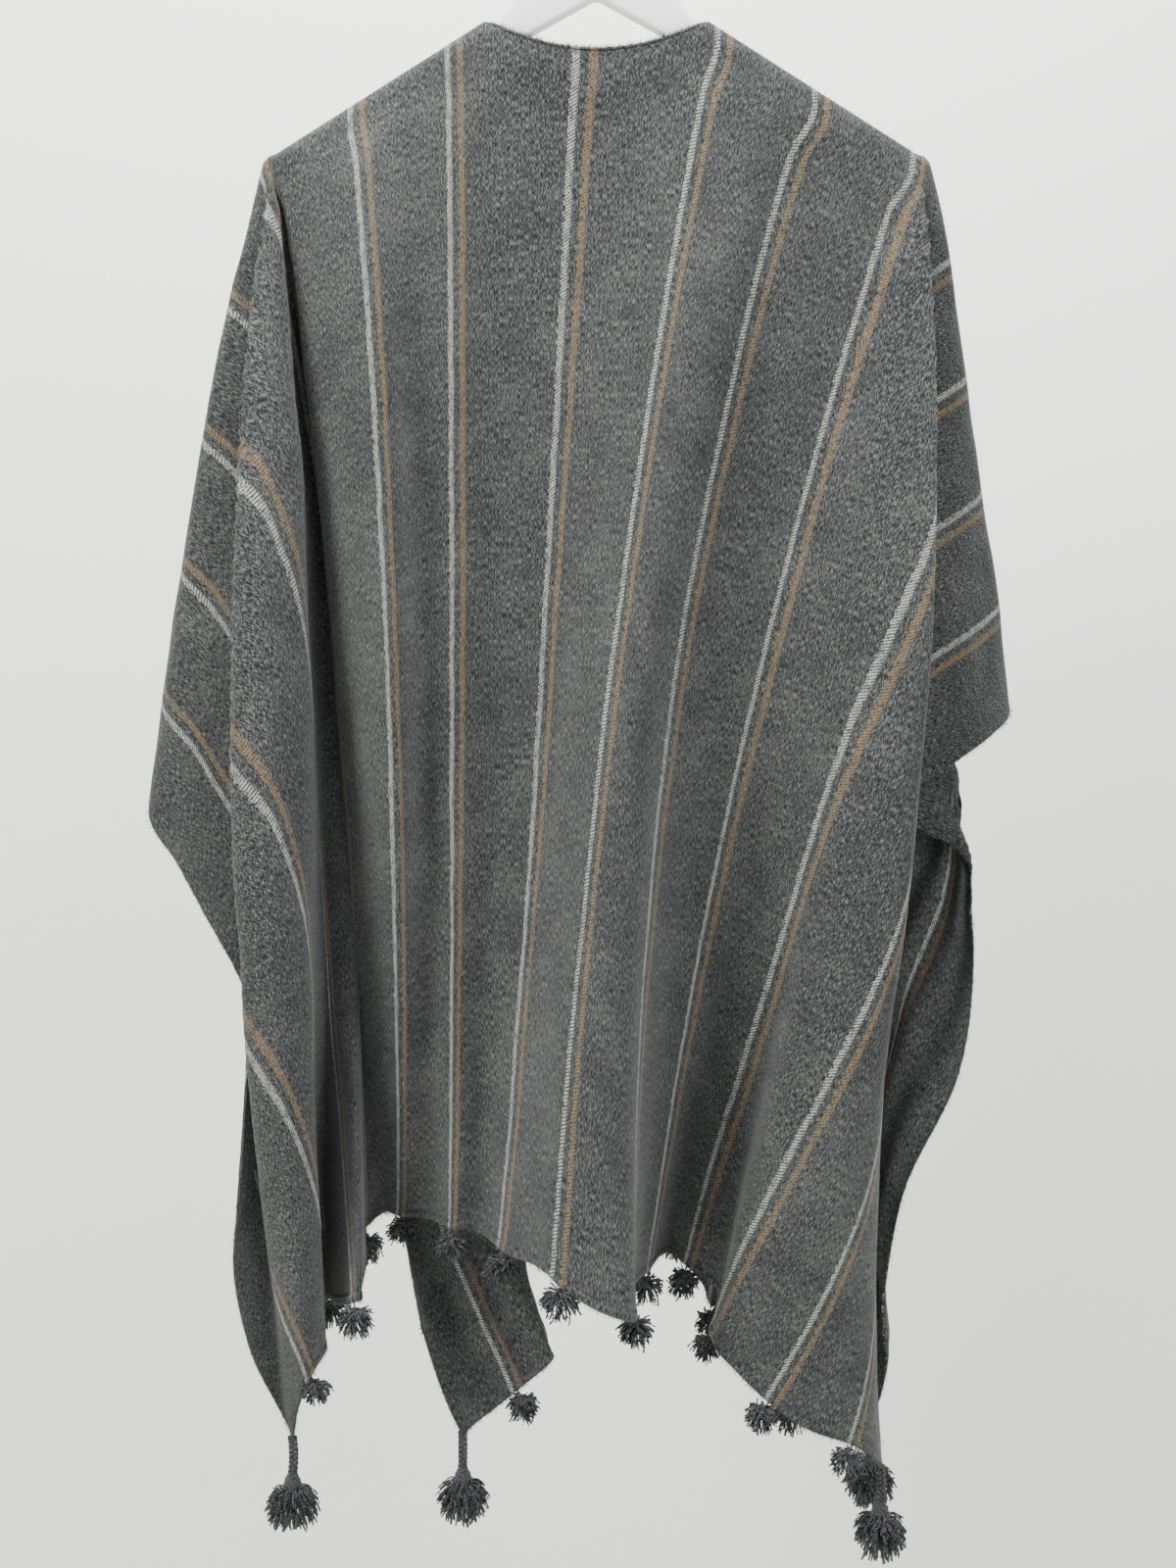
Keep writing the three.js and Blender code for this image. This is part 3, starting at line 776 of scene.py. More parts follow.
@dataclass
class Drape:
    """The wrap's cloth as it hangs: a woven rectangle folded over the hanger, in millimetres.

    A place on the cloth is u, across from its middle, and v, down from the shoulder fold, which is
    positive on the back. Inside the hanger's tips the cloth falls from the shoulder line at a
    constant u. Outside them all falls start at the tip.
    """

    half_length: float = 870.0
    pitch: float = 80.0
    first_stripe: int = -3
    last_stripe: int = 11
    centre_stripe: int = 4
    centre_u: float = -6.5
    margin: float = 0.9
    neck_half_cut: float = 62.0
    neck_half_width: float = 78.0
    back_cut: float = 26.0
    back_drop: float = 20.6
    front_cut: float = 75.0
    front_drop: float = 62.0
    slit_x: float = 45.0
    slit_half_gap: float = 2.0
    shoulder_top: float = -133.0
    shoulder_slope: float = 0.64
    tip_x: float = 222.0
    fold_radius: float = 10.0
    settle_from: float = 15.0
    settle_near: float = 55.0
    settle_to: float = 120.0
    tip_flare: float = 0.25
    wall: float = 2.0
    cell: float = 5.4
    pleat_pitch: float = 44.0
    pleat_height: float = 4.6

    def __post_init__(self) -> None:
        """Works out the edges, the tips and the table of all rulings round the cloth."""
        self.edge_left = self.stripe_u(self.first_stripe - self.margin)
        self.edge_right = self.stripe_u(self.last_stripe + self.margin)
        along_arm = math.hypot(1.0, self.shoulder_slope)
        self.tip_u = self.neck_half_cut + (self.tip_x - self.neck_half_width) * along_arm
        rows = [(self.stripe_u(ruling.at), *ruling[1:]) for ruling in BACK_HEM]
        for side, edge, selvedge, hem in (
            (1, self.edge_right, RIGHT_SELVEDGE, RIGHT_FRONT_HEM),
            (-1, self.edge_left, LEFT_SELVEDGE, LEFT_FRONT_HEM),
        ):
            for ruling in selvedge:
                rows.append((edge + side * (self.half_length - ruling.at), *ruling[1:]))
            for ruling in hem:
                place = edge + side * 2 * self.half_length + edge - self.stripe_u(ruling.at)
                rows.append((place, *ruling[1:]))
        table = np.array(sorted(rows))
        self.along, self.values = table[:, 0], table[:, 1:]
        step = np.diff(self.along)[:, None]
        slope = np.diff(self.values, axis=0) / step
        inner = (slope[:-1] * step[1:] + slope[1:] * step[:-1]) / (step[:-1] + step[1:])
        self.slopes = np.concatenate([slope[:1], inner, slope[-1:]])

    def stripe_u(self, stripe: float) -> float:
        """Where a stripe pair's centre lies across the cloth."""
        return (stripe - self.centre_stripe) * self.pitch + self.centre_u

    def ruling_at(self, along: np.ndarray) -> np.ndarray:
        """The rulings' values, smoothed between the rows, at distances round the cloth's edge.

        Args:
            along: Distance from the middle of the back hem, positive to the right.

        Returns:
            mid_x, mid_y, end_x, end_y and gather, along the last axis.
        """
        i = np.clip(np.searchsorted(self.along, along, side="right") - 1, 0, len(self.along) - 2)
        span = self.along[i + 1] - self.along[i]
        t = np.clip((along - self.along[i]) / span, 0.0, 1.0)[..., None]
        a, b = self.values[i], self.values[i + 1]
        slope_a, slope_b = self.slopes[i] * span[..., None], self.slopes[i + 1] * span[..., None]
        rise = a * (1 + 2 * t) * (1 - t) ** 2 + slope_a * t * (1 - t) ** 2
        return rise + b * t * t * (3 - 2 * t) + slope_b * t * t * (t - 1)

    def neck_cut(self, u: np.ndarray, is_back: np.ndarray) -> np.ndarray:
        """How far below the shoulder fold the neck is cut."""
        t = np.minimum(np.abs(u) / self.neck_half_cut, 1.0)
        return np.where(is_back, self.back_cut * (1 - t * t), self.front_cut * (1 - t))

    def anchor(self, u: np.ndarray, is_back: np.ndarray) -> tuple[np.ndarray, np.ndarray]:
        """Where rulings leave the shoulder line or the neck edge.

        Args:
            u: Place across the cloth.
            is_back: Whether it is on the back.

        Returns:
            The points, and how far the neck edge has come off the arm there, from 0 to 1.
        """
        side, width = np.where(u < 0, -1.0, 1.0), np.abs(u)
        along_arm = math.hypot(1.0, self.shoulder_slope)
        reach = np.clip(width, self.neck_half_cut, self.tip_u) - self.neck_half_cut
        arm_x = self.neck_half_width + reach / along_arm
        arm_z = self.shoulder_top - (arm_x - self.neck_half_width) * self.shoulder_slope
        t = np.minimum(width / self.neck_half_cut, 1.0)
        off = np.sqrt(1 - t**6)
        front_x = self.slit_x + (self.neck_half_width - self.slit_x) * t
        neck_x = np.where(is_back, self.neck_half_width * t, front_x)
        drop = np.where(is_back, self.back_drop * (1 - t * t), self.front_drop * (1 - t))
        on_arm = t >= 1.0
        x = side * np.where(on_arm, arm_x, neck_x)
        y = np.where(on_arm, 0.0, np.where(is_back, -1.0, 1.0) * self.fold_radius * off)
        z = np.where(on_arm, arm_z, self.shoulder_top - drop)
        return np.stack([x, y, z], axis=-1), off

    def surface(self, u: np.ndarray, v: np.ndarray, is_back: np.ndarray) -> np.ndarray:
        """Place in space of the cloth's middle.

        Args:
            u: Place across the cloth.
            v: Place down the cloth, positive on the back.
            is_back: Whether the place is on the back; it says which where v is 0.

        Returns:
            Points in millimetres, along the last axis.
        """
        side, depth = np.where(u < 0, -1.0, 1.0), np.abs(v)
        facing = np.where(is_back, -1.0, 1.0)
        half = self.half_length
        edge = np.where(side > 0, self.edge_right, self.edge_left)
        out = np.abs(u) - self.tip_u
        widest = np.abs(edge) - self.tip_u
        in_fan = out > 0
        wide, deep = np.maximum(out, 1e-6), np.maximum(depth, 1e-6)
        cut = self.neck_cut(u, is_back)
        fan_run = np.hypot(wide, depth)
        run = np.where(in_fan, fan_run, np.maximum(depth - cut, 0.0))
        at_hem, at_selvedge = wide * half / deep, deep * widest / wide
        meets_hem = depth * widest >= half * out
        hem_u = np.where(in_fan, side * (self.tip_u + at_hem), u)
        on_hem = np.where(is_back, hem_u, edge + side * 2 * half + edge - hem_u)
        on_selvedge = edge + side * (half + facing * at_selvedge)
        to_selvedge = in_fan & ~meets_hem
        along = np.where(to_selvedge, on_selvedge, on_hem)
        fan_length = np.where(meets_hem, np.hypot(at_hem, half), np.hypot(widest, at_selvedge))
        length = np.where(in_fan, fan_length, half - cut)
        start, off = self.anchor(u, is_back)
        outward = np.where(in_fan, side * wide / fan_run, 0.0)
        backward = facing * np.where(in_fan, depth / fan_run, 1.0 - off)
        ruling = self.ruling_at(along)
        t = run / length

        def bend(first: np.ndarray, middle: np.ndarray, last: np.ndarray) -> np.ndarray:
            """The shift along a parabola from the start, through the middle, to the end."""
            return (4 * middle - last - 3 * first) * t + (2 * last + 2 * first - 4 * middle) * t * t

        turn = np.minimum(run / self.fold_radius, math.pi / 2)
        reach = self.fold_radius * np.sin(turn)
        over = self.fold_radius * (1 - np.cos(turn))
        fall = over + run - self.fold_radius * turn - ruling[..., 4] * t
        near_tip = smooth_step(np.abs(u), self.tip_u, self.tip_u + 70.0)
        settled = self.settle_near + (self.settle_to - self.settle_near) * near_tip
        settle = smooth_step(run, self.settle_from, settled)
        opening = np.maximum(run - self.settle_from, 0.0) * (1 - settle)
        reach = reach + self.tip_flare * opening * np.abs(outward)
        shift_x = bend(start[..., 0], ruling[..., 0], ruling[..., 2]) * settle
        shift_y = bend(np.zeros_like(u), ruling[..., 1], ruling[..., 3]) * settle
        down = np.sqrt(np.maximum(fall**2 - shift_x**2 - shift_y**2, (0.5 * fall) ** 2))
        shift = np.stack([outward * reach + shift_x, backward * reach + shift_y, -down], axis=-1)
        return start + shift

    def normal(self, u: np.ndarray, v: np.ndarray, is_back: np.ndarray) -> np.ndarray:
        """The cloth's outward normal, the same on both sides of the shoulder fold.

        Args:
            u: Place across the cloth.
            v: Place down the cloth.
            is_back: Whether the place is on the back.

        Returns:
            Unit vectors.
        """
        step = 3.0
        low = np.maximum(u - step, self.edge_left)
        high = np.minimum(u + step, self.edge_right)
        in_slit = ~is_back & (low * high < 0)
        low, high = np.where(in_slit & (u > 0), u, low), np.where(in_slit & (u < 0), u, high)
        across = self.surface(high, v, is_back) - self.surface(low, v, is_back)
        fold_open = np.abs(u) >= self.neck_half_cut
        ends = []
        for w in (v - step, v + step):
            crosses = np.where(is_back, w < 0, w > 0)
            place = np.where(crosses & ~fold_open, v, w)
            ends.append(self.surface(u, place, is_back ^ (crosses & fold_open)))
        return unit(np.cross(across, ends[1] - ends[0]))

    def relief(self, u: np.ndarray, v: np.ndarray) -> np.ndarray:
        """Height of the small creases and of the unevenness of the cloth, in millimetres.

        Args:
            u: Place across the cloth.
            v: Place down the cloth, signed.

        Returns:
            The height outwards.
        """
        height = 0.9 * value_noise(u / 70.0 + 20.0, v / 150.0 + 20.0, 1)
        height += 0.45 * value_noise(u / 26.0 + 30.0, v / 60.0 + 30.0, 2)
        for crease in CREASES:
            du, dv = crease.to_u - crease.from_u, crease.to_v - crease.from_v
            length = math.hypot(du, dv)
            t = ((u - crease.from_u) * du + (v - crease.from_v) * dv) / length**2
            bow = 0.06 * length * np.sin(math.pi * np.clip(t, 0.0, 1.0))
            off = ((u - crease.from_u) * dv - (v - crease.from_v) * du) / length - bow
            fade = smooth_step(t, -0.05, 0.4) * (1 - smooth_step(t, 0.55, 1.05))
            height += crease.height * fade * np.exp(-((off / crease.width) ** 2))
        height += self.pleats(u, v)
        from_hem = self.half_length - np.abs(v)
        ripple = value_noise(u / 34.0 + 7.0, np.sign(v) * 5.0 + 9.0 + 0 * u, 3)
        height += 2.2 * ripple * np.exp(-from_hem / 42.0)
        return height * smooth_step(np.abs(v), 0.0, 60.0)

    def pleats(self, u: np.ndarray, v: np.ndarray) -> np.ndarray:
        """Height of the small pleats that the fronts fall in, in millimetres.

        Args:
            u: Place across the cloth.
            v: Place down the cloth, signed.

        Returns:
            The height outwards, nothing on the back.
        """
        depth = -v
        sway = 9.0 * value_noise(u / 90.0 + 11.0, v / 300.0 + 11.0, 4)
        swell = 0.72 + 0.28 * value_noise(u / 60.0 + 3.0, v / 200.0 + 17.0, 5)
        wave = np.sin(2 * math.pi * (u + sway + 0.10 * depth * np.sign(u)) / self.pleat_pitch)
        fade = smooth_step(depth, 60.0, 260.0) * smooth_step(np.abs(u), 10.0, 60.0)
        return self.pleat_height * wave * swell * fade

    def thickness(self, u: np.ndarray, v: np.ndarray, is_back: np.ndarray) -> np.ndarray:
        """Half the cloth's thickness: a turned hem with a sunk seam at hems, neck and front edges.

        Args:
            u: Place across the cloth.
            v: Place down the cloth.
            is_back: Whether the place is on the back.

        Returns:
            Half thickness in millimetres.
        """
        turned = self.half_length - np.abs(v)
        at_neck = np.abs(v) - self.neck_cut(u, is_back)
        turned = np.where(np.abs(u) < self.neck_half_cut, np.minimum(turned, at_neck), turned)
        turned = np.where(is_back, turned, np.minimum(turned, np.abs(u) - self.slit_half_gap))
        plain = np.minimum(self.edge_right - u, u - self.edge_left)
        hem = np.interp(turned, (0, 0.6, 1.5, 5.6, 6.4, 7.4, 9.0), (0.35, 1.15, 1.7, 1.65, 0.7, 1.15, 1.0))
        return hem * np.interp(plain, (0, 0.6, 1.6), (0.35, 0.8, 1.0)) * self.wall / 2


# ---- The wrap ---------------------------------------------------------------------------------

FINE = (0.0, 0.6, 1.5, 3.4, 5.6, 6.4, 7.4, 9.0)
EDGE_FINE = (0.0, 0.6, 1.6, 4.0)


def between(low: float, high: float, cell: float) -> list[float]:
    """Even steps from low to high, without low, no longer than a cell."""
    count = max(1, math.ceil((high - low) / cell))
    return [low + (high - low) * i / count for i in range(1, count + 1)]


@dataclass
class Cloth:
    """One stretch of the wrap as a thin closed shell, with the short nap that stands off it."""

    drape: Drape
    panel: Panel
    nap_per_dm2: float = 215.0
    nap_length: tuple[float, float] = (1.6, 4.6)
    nap_width: float = 0.24
    nap_outside: float = 0.62
    nap_stand: float = 0.62
    nap_fall: float = 0.55
    nap_scatter: float = 0.42
    edge_hair_per_mm: float = 3.4
    neck_hair_per_mm: float = 14.0
    fold_hair_per_mm: float = 2.4

    def columns(self) -> list[float]:
        """Places across the cloth of the grid's columns, finer at the edges."""
        d = self.drape
        right = self._half(d.edge_right)
        left = [-u for u in reversed(self._half(-d.edge_left))]
        if self.panel is Panel.BACK:
            return left[:-1] + right
        return left if self.panel is Panel.LEFT else right

    def _half(self, edge: float) -> list[float]:
        """The columns of one half, from the middle or the front edge to the selvedge."""
        d = self.drape
        if self.panel is Panel.BACK:
            places = [0.0]
        else:
            places = [d.slit_half_gap + step for step in FINE]
        for stop in (d.neck_half_cut, d.tip_u, edge - EDGE_FINE[-1]):
            places += between(places[-1], stop, d.cell)
        return places + [edge - step for step in reversed(EDGE_FINE[:-1])]

    def rows(self, u: np.ndarray) -> np.ndarray:
        """Depths of the grid's rows for each column: fine at both ends, even between."""
        d = self.drape
        top = d.neck_cut(u, self._is_back(u))[:, None]
        fine = np.array(FINE)
        count = round((d.half_length - 2 * fine[-1]) / d.cell)
        low, high = top + fine[-1], d.half_length - fine[-1]
        middle = low + (high - low) * np.linspace(0.0, 1.0, count)[None, 1:-1]
        end = np.broadcast_to(d.half_length - fine[::-1], (len(u), len(fine)))
        return np.concatenate([top + fine, middle, end], axis=1)

    def _is_back(self, u: np.ndarray) -> np.ndarray:
        """Whether the panel is the back, as an array like u."""
        return np.full(np.shape(u), self.panel is Panel.BACK)

    def at(self, u: np.ndarray, v: np.ndarray) -> tuple[np.ndarray, np.ndarray]:
        """Points of the cloth's middle and its normals.

        Args:
            u: Places across.
            v: Places down, signed.

        Returns:
            Points and unit normals.
        """
        is_back = self._is_back(u)
        normal = self.drape.normal(u, v, is_back)
        point = self.drape.surface(u, v, is_back)
        return point + normal * self.drape.relief(u, v)[..., None], normal

    def shell(self, material: bpy.types.Material) -> bpy.types.Object:
        """Builds the closed shell.

        Args:
            material: The wool.

        Returns:
            The shell's object.
        """
        across = np.array(self.columns())
        depth = self.rows(across)
        u = np.broadcast_to(across[:, None], depth.shape)
        v = depth if self.panel is Panel.BACK else -depth
        point, normal = self.at(u, v)
        half = self.drape.thickness(u, v, self._is_back(u))[..., None]
        layers = np.stack([point + normal * half, point - normal * half])
        number = np.arange(layers[..., 0].size).reshape(layers.shape[:3])
        outer, inner = number
        faces = [self._quads(outer), self._quads(inner)[:, ::-1]]
        for line in (
            number[:, :, 0].T,
            number[:, :, -1].T[::-1],
            number[:, 0, :].T[::-1],
            number[:, -1, :].T,
        ):
            faces.append(np.stack([line[:-1, 0], line[1:, 0], line[1:, 1], line[:-1, 1]], axis=1))
        joined = np.concatenate(faces)
        if self.panel is not Panel.BACK:
            joined = joined[:, ::-1]
        places = np.stack([u, v], axis=-1).reshape(-1, 2) * MM
        points = layers.reshape(-1, 3)
        name = f"cloth_{self.panel.name.lower()}"
        return make_object(name, points, joined, np.concatenate([places, places]), material)

    @staticmethod
    def _quads(number: np.ndarray) -> np.ndarray:
        """Faces of a grid of vertex numbers."""
        corners = [number[:-1, :-1], number[:-1, 1:], number[1:, 1:], number[1:, :-1]]
        return np.stack(corners, axis=-1).reshape(-1, 4)[:, ::-1]

    def nap(self, material: bpy.types.Material) -> bpy.types.Object:
        """Builds the short hairs that stand off both faces and the edges.

        Args:
            material: The wool.

        Returns:
            The hairs' object.
        """
        d = self.drape
        random = np.random.default_rng(list(Panel).index(self.panel) + 11)
        across = self.columns()
        low, high = across[0], across[-1]
        area = (high - low) * d.half_length / 1e4
        count = int(area * self.nap_per_dm2)
        u = random.uniform(low + 1, high - 1, count)
        top = d.neck_cut(u, self._is_back(u)) + 1.0
        depth = top + (d.half_length - 1.0 - top) * random.uniform(0.0, 1.0, count)
        face = np.where(random.uniform(size=count) < self.nap_outside, 1.0, -1.0)
        edge_u, edge_depth = self._edge_places(random, low, high)
        u, depth = np.concatenate([u, edge_u]), np.concatenate([depth, edge_depth])
        face = np.concatenate([face, random.choice([-1.0, 1.0], len(edge_u))])
        sign = 1.0 if self.panel is Panel.BACK else -1.0
        point, normal = self.at(u, sign * depth)
        below, _ = self.at(u, sign * np.minimum(depth + 3.0, d.half_length))
        above, _ = self.at(u, sign * np.maximum(depth - 3.0, d.neck_cut(u, self._is_back(u))))
        at_neck = (np.abs(u) < d.neck_half_cut) & (depth < d.neck_cut(u, self._is_back(u)) + 0.5)
        # At the neck's edge the hairs point up, off the cloth, and elsewhere down along it.
        down = unit(below - above) * np.where(at_neck, -1.0, 1.0)[:, None]
        root = point + normal * (face * d.wall * 0.4)[:, None]
        wild = random.normal(0.0, self.nap_scatter, (len(u), 3))
        lean = unit(normal * face[:, None] * self.nap_stand + down * self.nap_fall + wild)
        length = random.uniform(*self.nap_length, len(u))[:, None]
        beside = unit(np.cross(lean, normal + wild)) * self.nap_width / 2
        bend = root + lean * length * 0.55
        tip = bend + unit(lean + down * 0.7 + wild * 0.6) * length * 0.5
        points = np.stack([root - beside, root + beside, bend + beside * 0.6, tip, bend - beside * 0.6], 1)
        start = np.arange(len(u))[:, None] * 5
        faces = np.concatenate([start + (0, 1, 2), start + (0, 2, 4), start + (4, 2, 3)])
        places = np.repeat(np.stack([u, sign * depth], axis=-1) * MM, 5, axis=0)
        name = f"nap_{self.panel.name.lower()}"
        return make_object(name, points.reshape(-1, 3), faces, places, material, 180.0)

    def _edge_places(
        self, random: np.random.Generator, low: float, high: float
    ) -> tuple[np.ndarray, np.ndarray]:
        """Random places along the hem, the neck, the shoulder fold and the selvedges.

        Args:
            random: Source of chance.
            low: Leftmost column.
            high: Rightmost column.

        Returns:
            Places across and down.
        """
        d = self.drape
        on_hem = random.uniform(low, high, int((high - low) * self.edge_hair_per_mm))
        down = random.uniform(30.0, d.half_length, int(d.half_length * self.edge_hair_per_mm))
        sides = [side for side in (low, high) if abs(side) > 10.0]
        neck_low, neck_high = max(low, -d.neck_half_cut), min(high, d.neck_half_cut)
        on_neck = random.uniform(neck_low, neck_high, int((neck_high - neck_low) * self.neck_hair_per_mm))
        neck_depth = d.neck_cut(on_neck, self._is_back(on_neck))
        on_fold = random.uniform(low, high, int((high - low) * self.fold_hair_per_mm))
        off_neck = d.neck_cut(on_fold, self._is_back(on_fold)) + 1.0
        fold_depth = np.maximum(off_neck, random.uniform(0.5, 8.0, len(on_fold)))
        u = np.concatenate([on_hem, on_neck, on_fold, *[np.full(len(down), side) for side in sides]])
        hem_depth = np.full(len(on_hem), d.half_length)
        return u, np.concatenate([hem_depth, neck_depth, fold_depth, *[down for _ in sides]])

    def build(self, material: bpy.types.Material) -> None:
        shell, nap = self.shell(material), self.nap(material)
        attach(shell, "root")
        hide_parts(self.panel.value)
        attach(nap, "root")
        across = self.columns()
        width, length = (across[-1] - across[0]) * MM, self.drape.half_length * MM
        LOG.info("%s: %d faces, nap %d", shell.name, len(shell.data.polygons), len(nap.data.polygons))


# ---- Pompoms and tassels ----------------------------------------------------------------------


@dataclass
class Trim:
    """What hangs from the hems: 29 pompoms of cut yarn and four braided corner tassels."""

    drape: Drape
    yarn: bpy.types.Material
    pom_strands: int = 145
    pom_reach: float = 14.2
    pom_drop: float = 7.6
    pom_droop: float = 0.32
    pom_curl: float = 0.22
    strand_radius: float = 0.74
    stem_length: float = 24.0
    stem_radius: float = 2.4
    braid_turn: float = 10.5
    ball_strands: int = 340
    ball_reach: float = 22.0
    ball_drop: float = 7.0
    ball_droop: float = 0.5
    ball_curl: float = 0.12
    dome_yarns: int = 26

    def hem_at(self, u: float, is_back: bool) -> tuple[np.ndarray, np.ndarray]:
        """The hem's lower edge, and the way the cloth falls there.

        Args:
            u: Place across the cloth.
            is_back: Whether it is the back hem.

        Returns:
            The place and a unit vector.
        """
        sign = 1.0 if is_back else -1.0
        depths = np.array([1.0, 0.95]) * self.drape.half_length * sign
        edge, above = self.drape.surface(np.full(2, u), depths, np.full(2, is_back))
        return edge, unit(edge - above)

    def strands(
        self,
        random: np.random.Generator,
        centre: np.ndarray,
        aim: np.ndarray,
        reach: np.ndarray,
        droop: float,
        curl: float,
    ) -> np.ndarray:
        """Paths of loose yarn ends out of one point.

        Args:
            random: Source of chance.
            centre: Where they start.
            aim: Unit direction of each.
            reach: Length of each.
            droop: How far they sink, as a share of their length.
            curl: How far their ends turn aside, as a share of their length.

        Returns:
            Paths, by strand, point and coordinate.
        """
        t = np.linspace(0.0, 1.0, 9)[None, :, None]
        count = len(aim)
        length = reach[:, None, None]
        side = unit(np.cross(aim, random.normal(size=(count, 3))))[:, None]
        aside = random.normal(0.0, curl, (count, 1, 1)) * length * t**2.6
        phase = random.uniform(0.0, 2 * math.pi, (count, 1, 1))
        wave = np.sin(t * random.uniform(6.0, 11.0, (count, 1, 1)) + phase)
        start = centre + random.normal(0.0, 0.8, (count, 1, 3))
        path = start + aim[:, None] * length * t * (1.0 - 0.16 * t)
        path = path + side * (aside + wave * 0.06 * length * t)
        return path + np.array([0.0, 0.0, -1.0]) * droop * length * t**2

    def pompom(self, name: str, u: float, is_back: bool, seed: int) -> bpy.types.Object:
        """A mop of cut yarn tied under the hem at one stripe.

        Args:
            name: The CAD node's name.
            u: Place across the cloth.
            is_back: Whether it hangs from the back hem.
            seed: Source of chance.

        Returns:
            The pompom.
        """
        random = np.random.default_rng(seed)
        low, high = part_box(name)
        body = np.array([(low[i] + high[i]) / 2 / MM for i in range(2)])
        edge, fall = self.hem_at(u, is_back)
        centre = edge + fall * self.pom_drop
        centre[:2] = centre[:2] * 0.45 + body * 0.55
        aim = self._aims(random, self.pom_strands, 0.72)
        size = random.uniform(0.86, 1.08)
        reach = self.pom_reach * size * random.uniform(0.86, 1.06, self.pom_strands)
        paths = self.strands(random, centre, aim, reach, self.pom_droop, self.pom_curl)
        tubes = Tubes()
        tubes.add(paths, self._taper(paths), 4, 0.66, 0.23)
        wraps = self._wrap(centre + (0, 0, 3.0), 1.9, 3)
        tubes.add(wraps, np.full(wraps.shape[:2], self.strand_radius * 0.8))
        tie = self._line(edge - fall * 2.0, centre)
        tubes.add(tie, np.full(tie.shape[:2], self.strand_radius))
        return tubes.build(name.replace("pom", "pompom"), self.yarn)

    @staticmethod
    def _aims(random: np.random.Generator, count: int, highest: float) -> np.ndarray:
        """Directions all round, from straight down up to a height on the unit ball.

        Args:
            random: Source of chance.
            count: How many.
            highest: The greatest height.

        Returns:
            Unit vectors, one row each.
        """
        around = random.uniform(0.0, 2 * math.pi, count)
        height = random.uniform(-1.0, highest, count)
        flat = np.sqrt(1 - height**2)
        return np.stack([flat * np.cos(around), flat * np.sin(around), height], axis=1)

    def _taper(self, paths: np.ndarray) -> np.ndarray:
        """Radii along loose ends: even, a little fluffed at the cut."""
        t = np.linspace(0.0, 1.0, paths.shape[1])
        return np.broadcast_to(self.strand_radius * (0.86 + 0.28 * t**2), paths.shape[:2])

    @staticmethod
    def _line(start: np.ndarray, end: np.ndarray) -> np.ndarray:
        """A short straight yarn as a path."""
        t = np.linspace(0.0, 1.0, 4)[:, None]
        return (start + (end - start) * t)[None]

    @staticmethod
    def _wrap(centre: np.ndarray, radius: float, turns: int) -> np.ndarray:
        """A yarn wound round a vertical neck.

        Args:
            centre: Middle of the winding.
            radius: Its radius.
            turns: How many turns.

        Returns:
            One path.
        """
        around = np.linspace(0.0, 2 * math.pi * turns, 12 * turns + 1)
        rise = around / (2 * math.pi) - turns / 2
        ring = np.stack([radius * np.cos(around), radius * np.sin(around), rise], axis=1)
        return (centre + ring)[None]

    def tassel(self, name: str, u: float, is_back: bool, seed: int) -> bpy.types.Object:
        """A braided stem, a wound knot and a ball of loose ends at one corner.

        Args:
            name: The CAD node's name.
            u: Place across the cloth.
            is_back: Whether it hangs from the back hem.
            seed: Source of chance.

        Returns:
            The tassel.
        """
        random = np.random.default_rng(seed)
        edge, _ = self.hem_at(u, is_back)
        tubes = Tubes()
        t = np.linspace(0.0, 1.0, 40)
        drop = t * (self.stem_length + 4.0) - 3.0
        lean = random.normal(0.0, 0.7, 2)
        bows = lean[:, None] * np.sin(t * 3.1)
        thirds = []
        for third in range(3):
            phase = 2 * math.pi * (drop / self.braid_turn + third / 3)
            x = self.stem_radius * 0.95 * np.sin(phase) + bows[0]
            y = self.stem_radius * 0.55 * np.sin(2 * phase) + bows[1]
            thirds.append(edge + np.stack([x, y, -drop], axis=1))
        stem = np.array(thirds)
        tubes.add(stem, np.full(stem.shape[:2], self.stem_radius * 0.64), 8, 0.85, 0.09)
        knot = edge + np.array([0.0, 0.0, -self.stem_length - 4.5])
        for level, radius in ((3.0, 3.4), (0.6, 4.8), (-2.2, 5.3)):
            ring = self._wrap(knot + (0, 0, level), radius, 2)
            ring = ring + random.normal(0.0, 0.12, ring.shape)
            tubes.add(ring, np.full(ring.shape[:2], 1.25), 6)
        dome = self._dome(knot, random)
        tubes.add(dome, self._taper(dome) * 1.15, 4, 0.7, 0.2)
        self._ball(tubes, knot, random)
        return tubes.build(name.replace("tassel", "corner_tassel"), self.yarn)

    def _dome(self, knot: np.ndarray, random: np.random.Generator) -> np.ndarray:
        """Yarns laid side by side over the knot, from the stem down to the ball."""
        count = self.dome_yarns
        around = np.linspace(0.0, 2 * math.pi, count, endpoint=False) + random.normal(0.0, 0.06, count)
        t = np.linspace(0.0, 1.0, 8)[None, :]
        radius = 1.8 + 4.9 * np.sin(t * math.pi * 0.62)
        height = 5.0 - 13.5 * t
        x, y = radius * np.cos(around)[:, None], radius * np.sin(around)[:, None]
        return knot + np.stack([x, y, np.broadcast_to(height, x.shape)], axis=-1)

    def _ball(self, tubes: Tubes, knot: np.ndarray, random: np.random.Generator) -> None:
        """Adds the loose ends of a tassel's ball."""
        aim = self._aims(random, self.ball_strands, 0.5)
        reach = self.ball_reach * random.uniform(0.86, 1.05, self.ball_strands)
        centre = knot - (0.0, 0.0, self.ball_drop)
        paths = self.strands(random, centre, aim, reach, self.ball_droop, self.ball_curl)
        tubes.add(paths, self._taper(paths) * 1.05, 4, 0.62, 0.2)

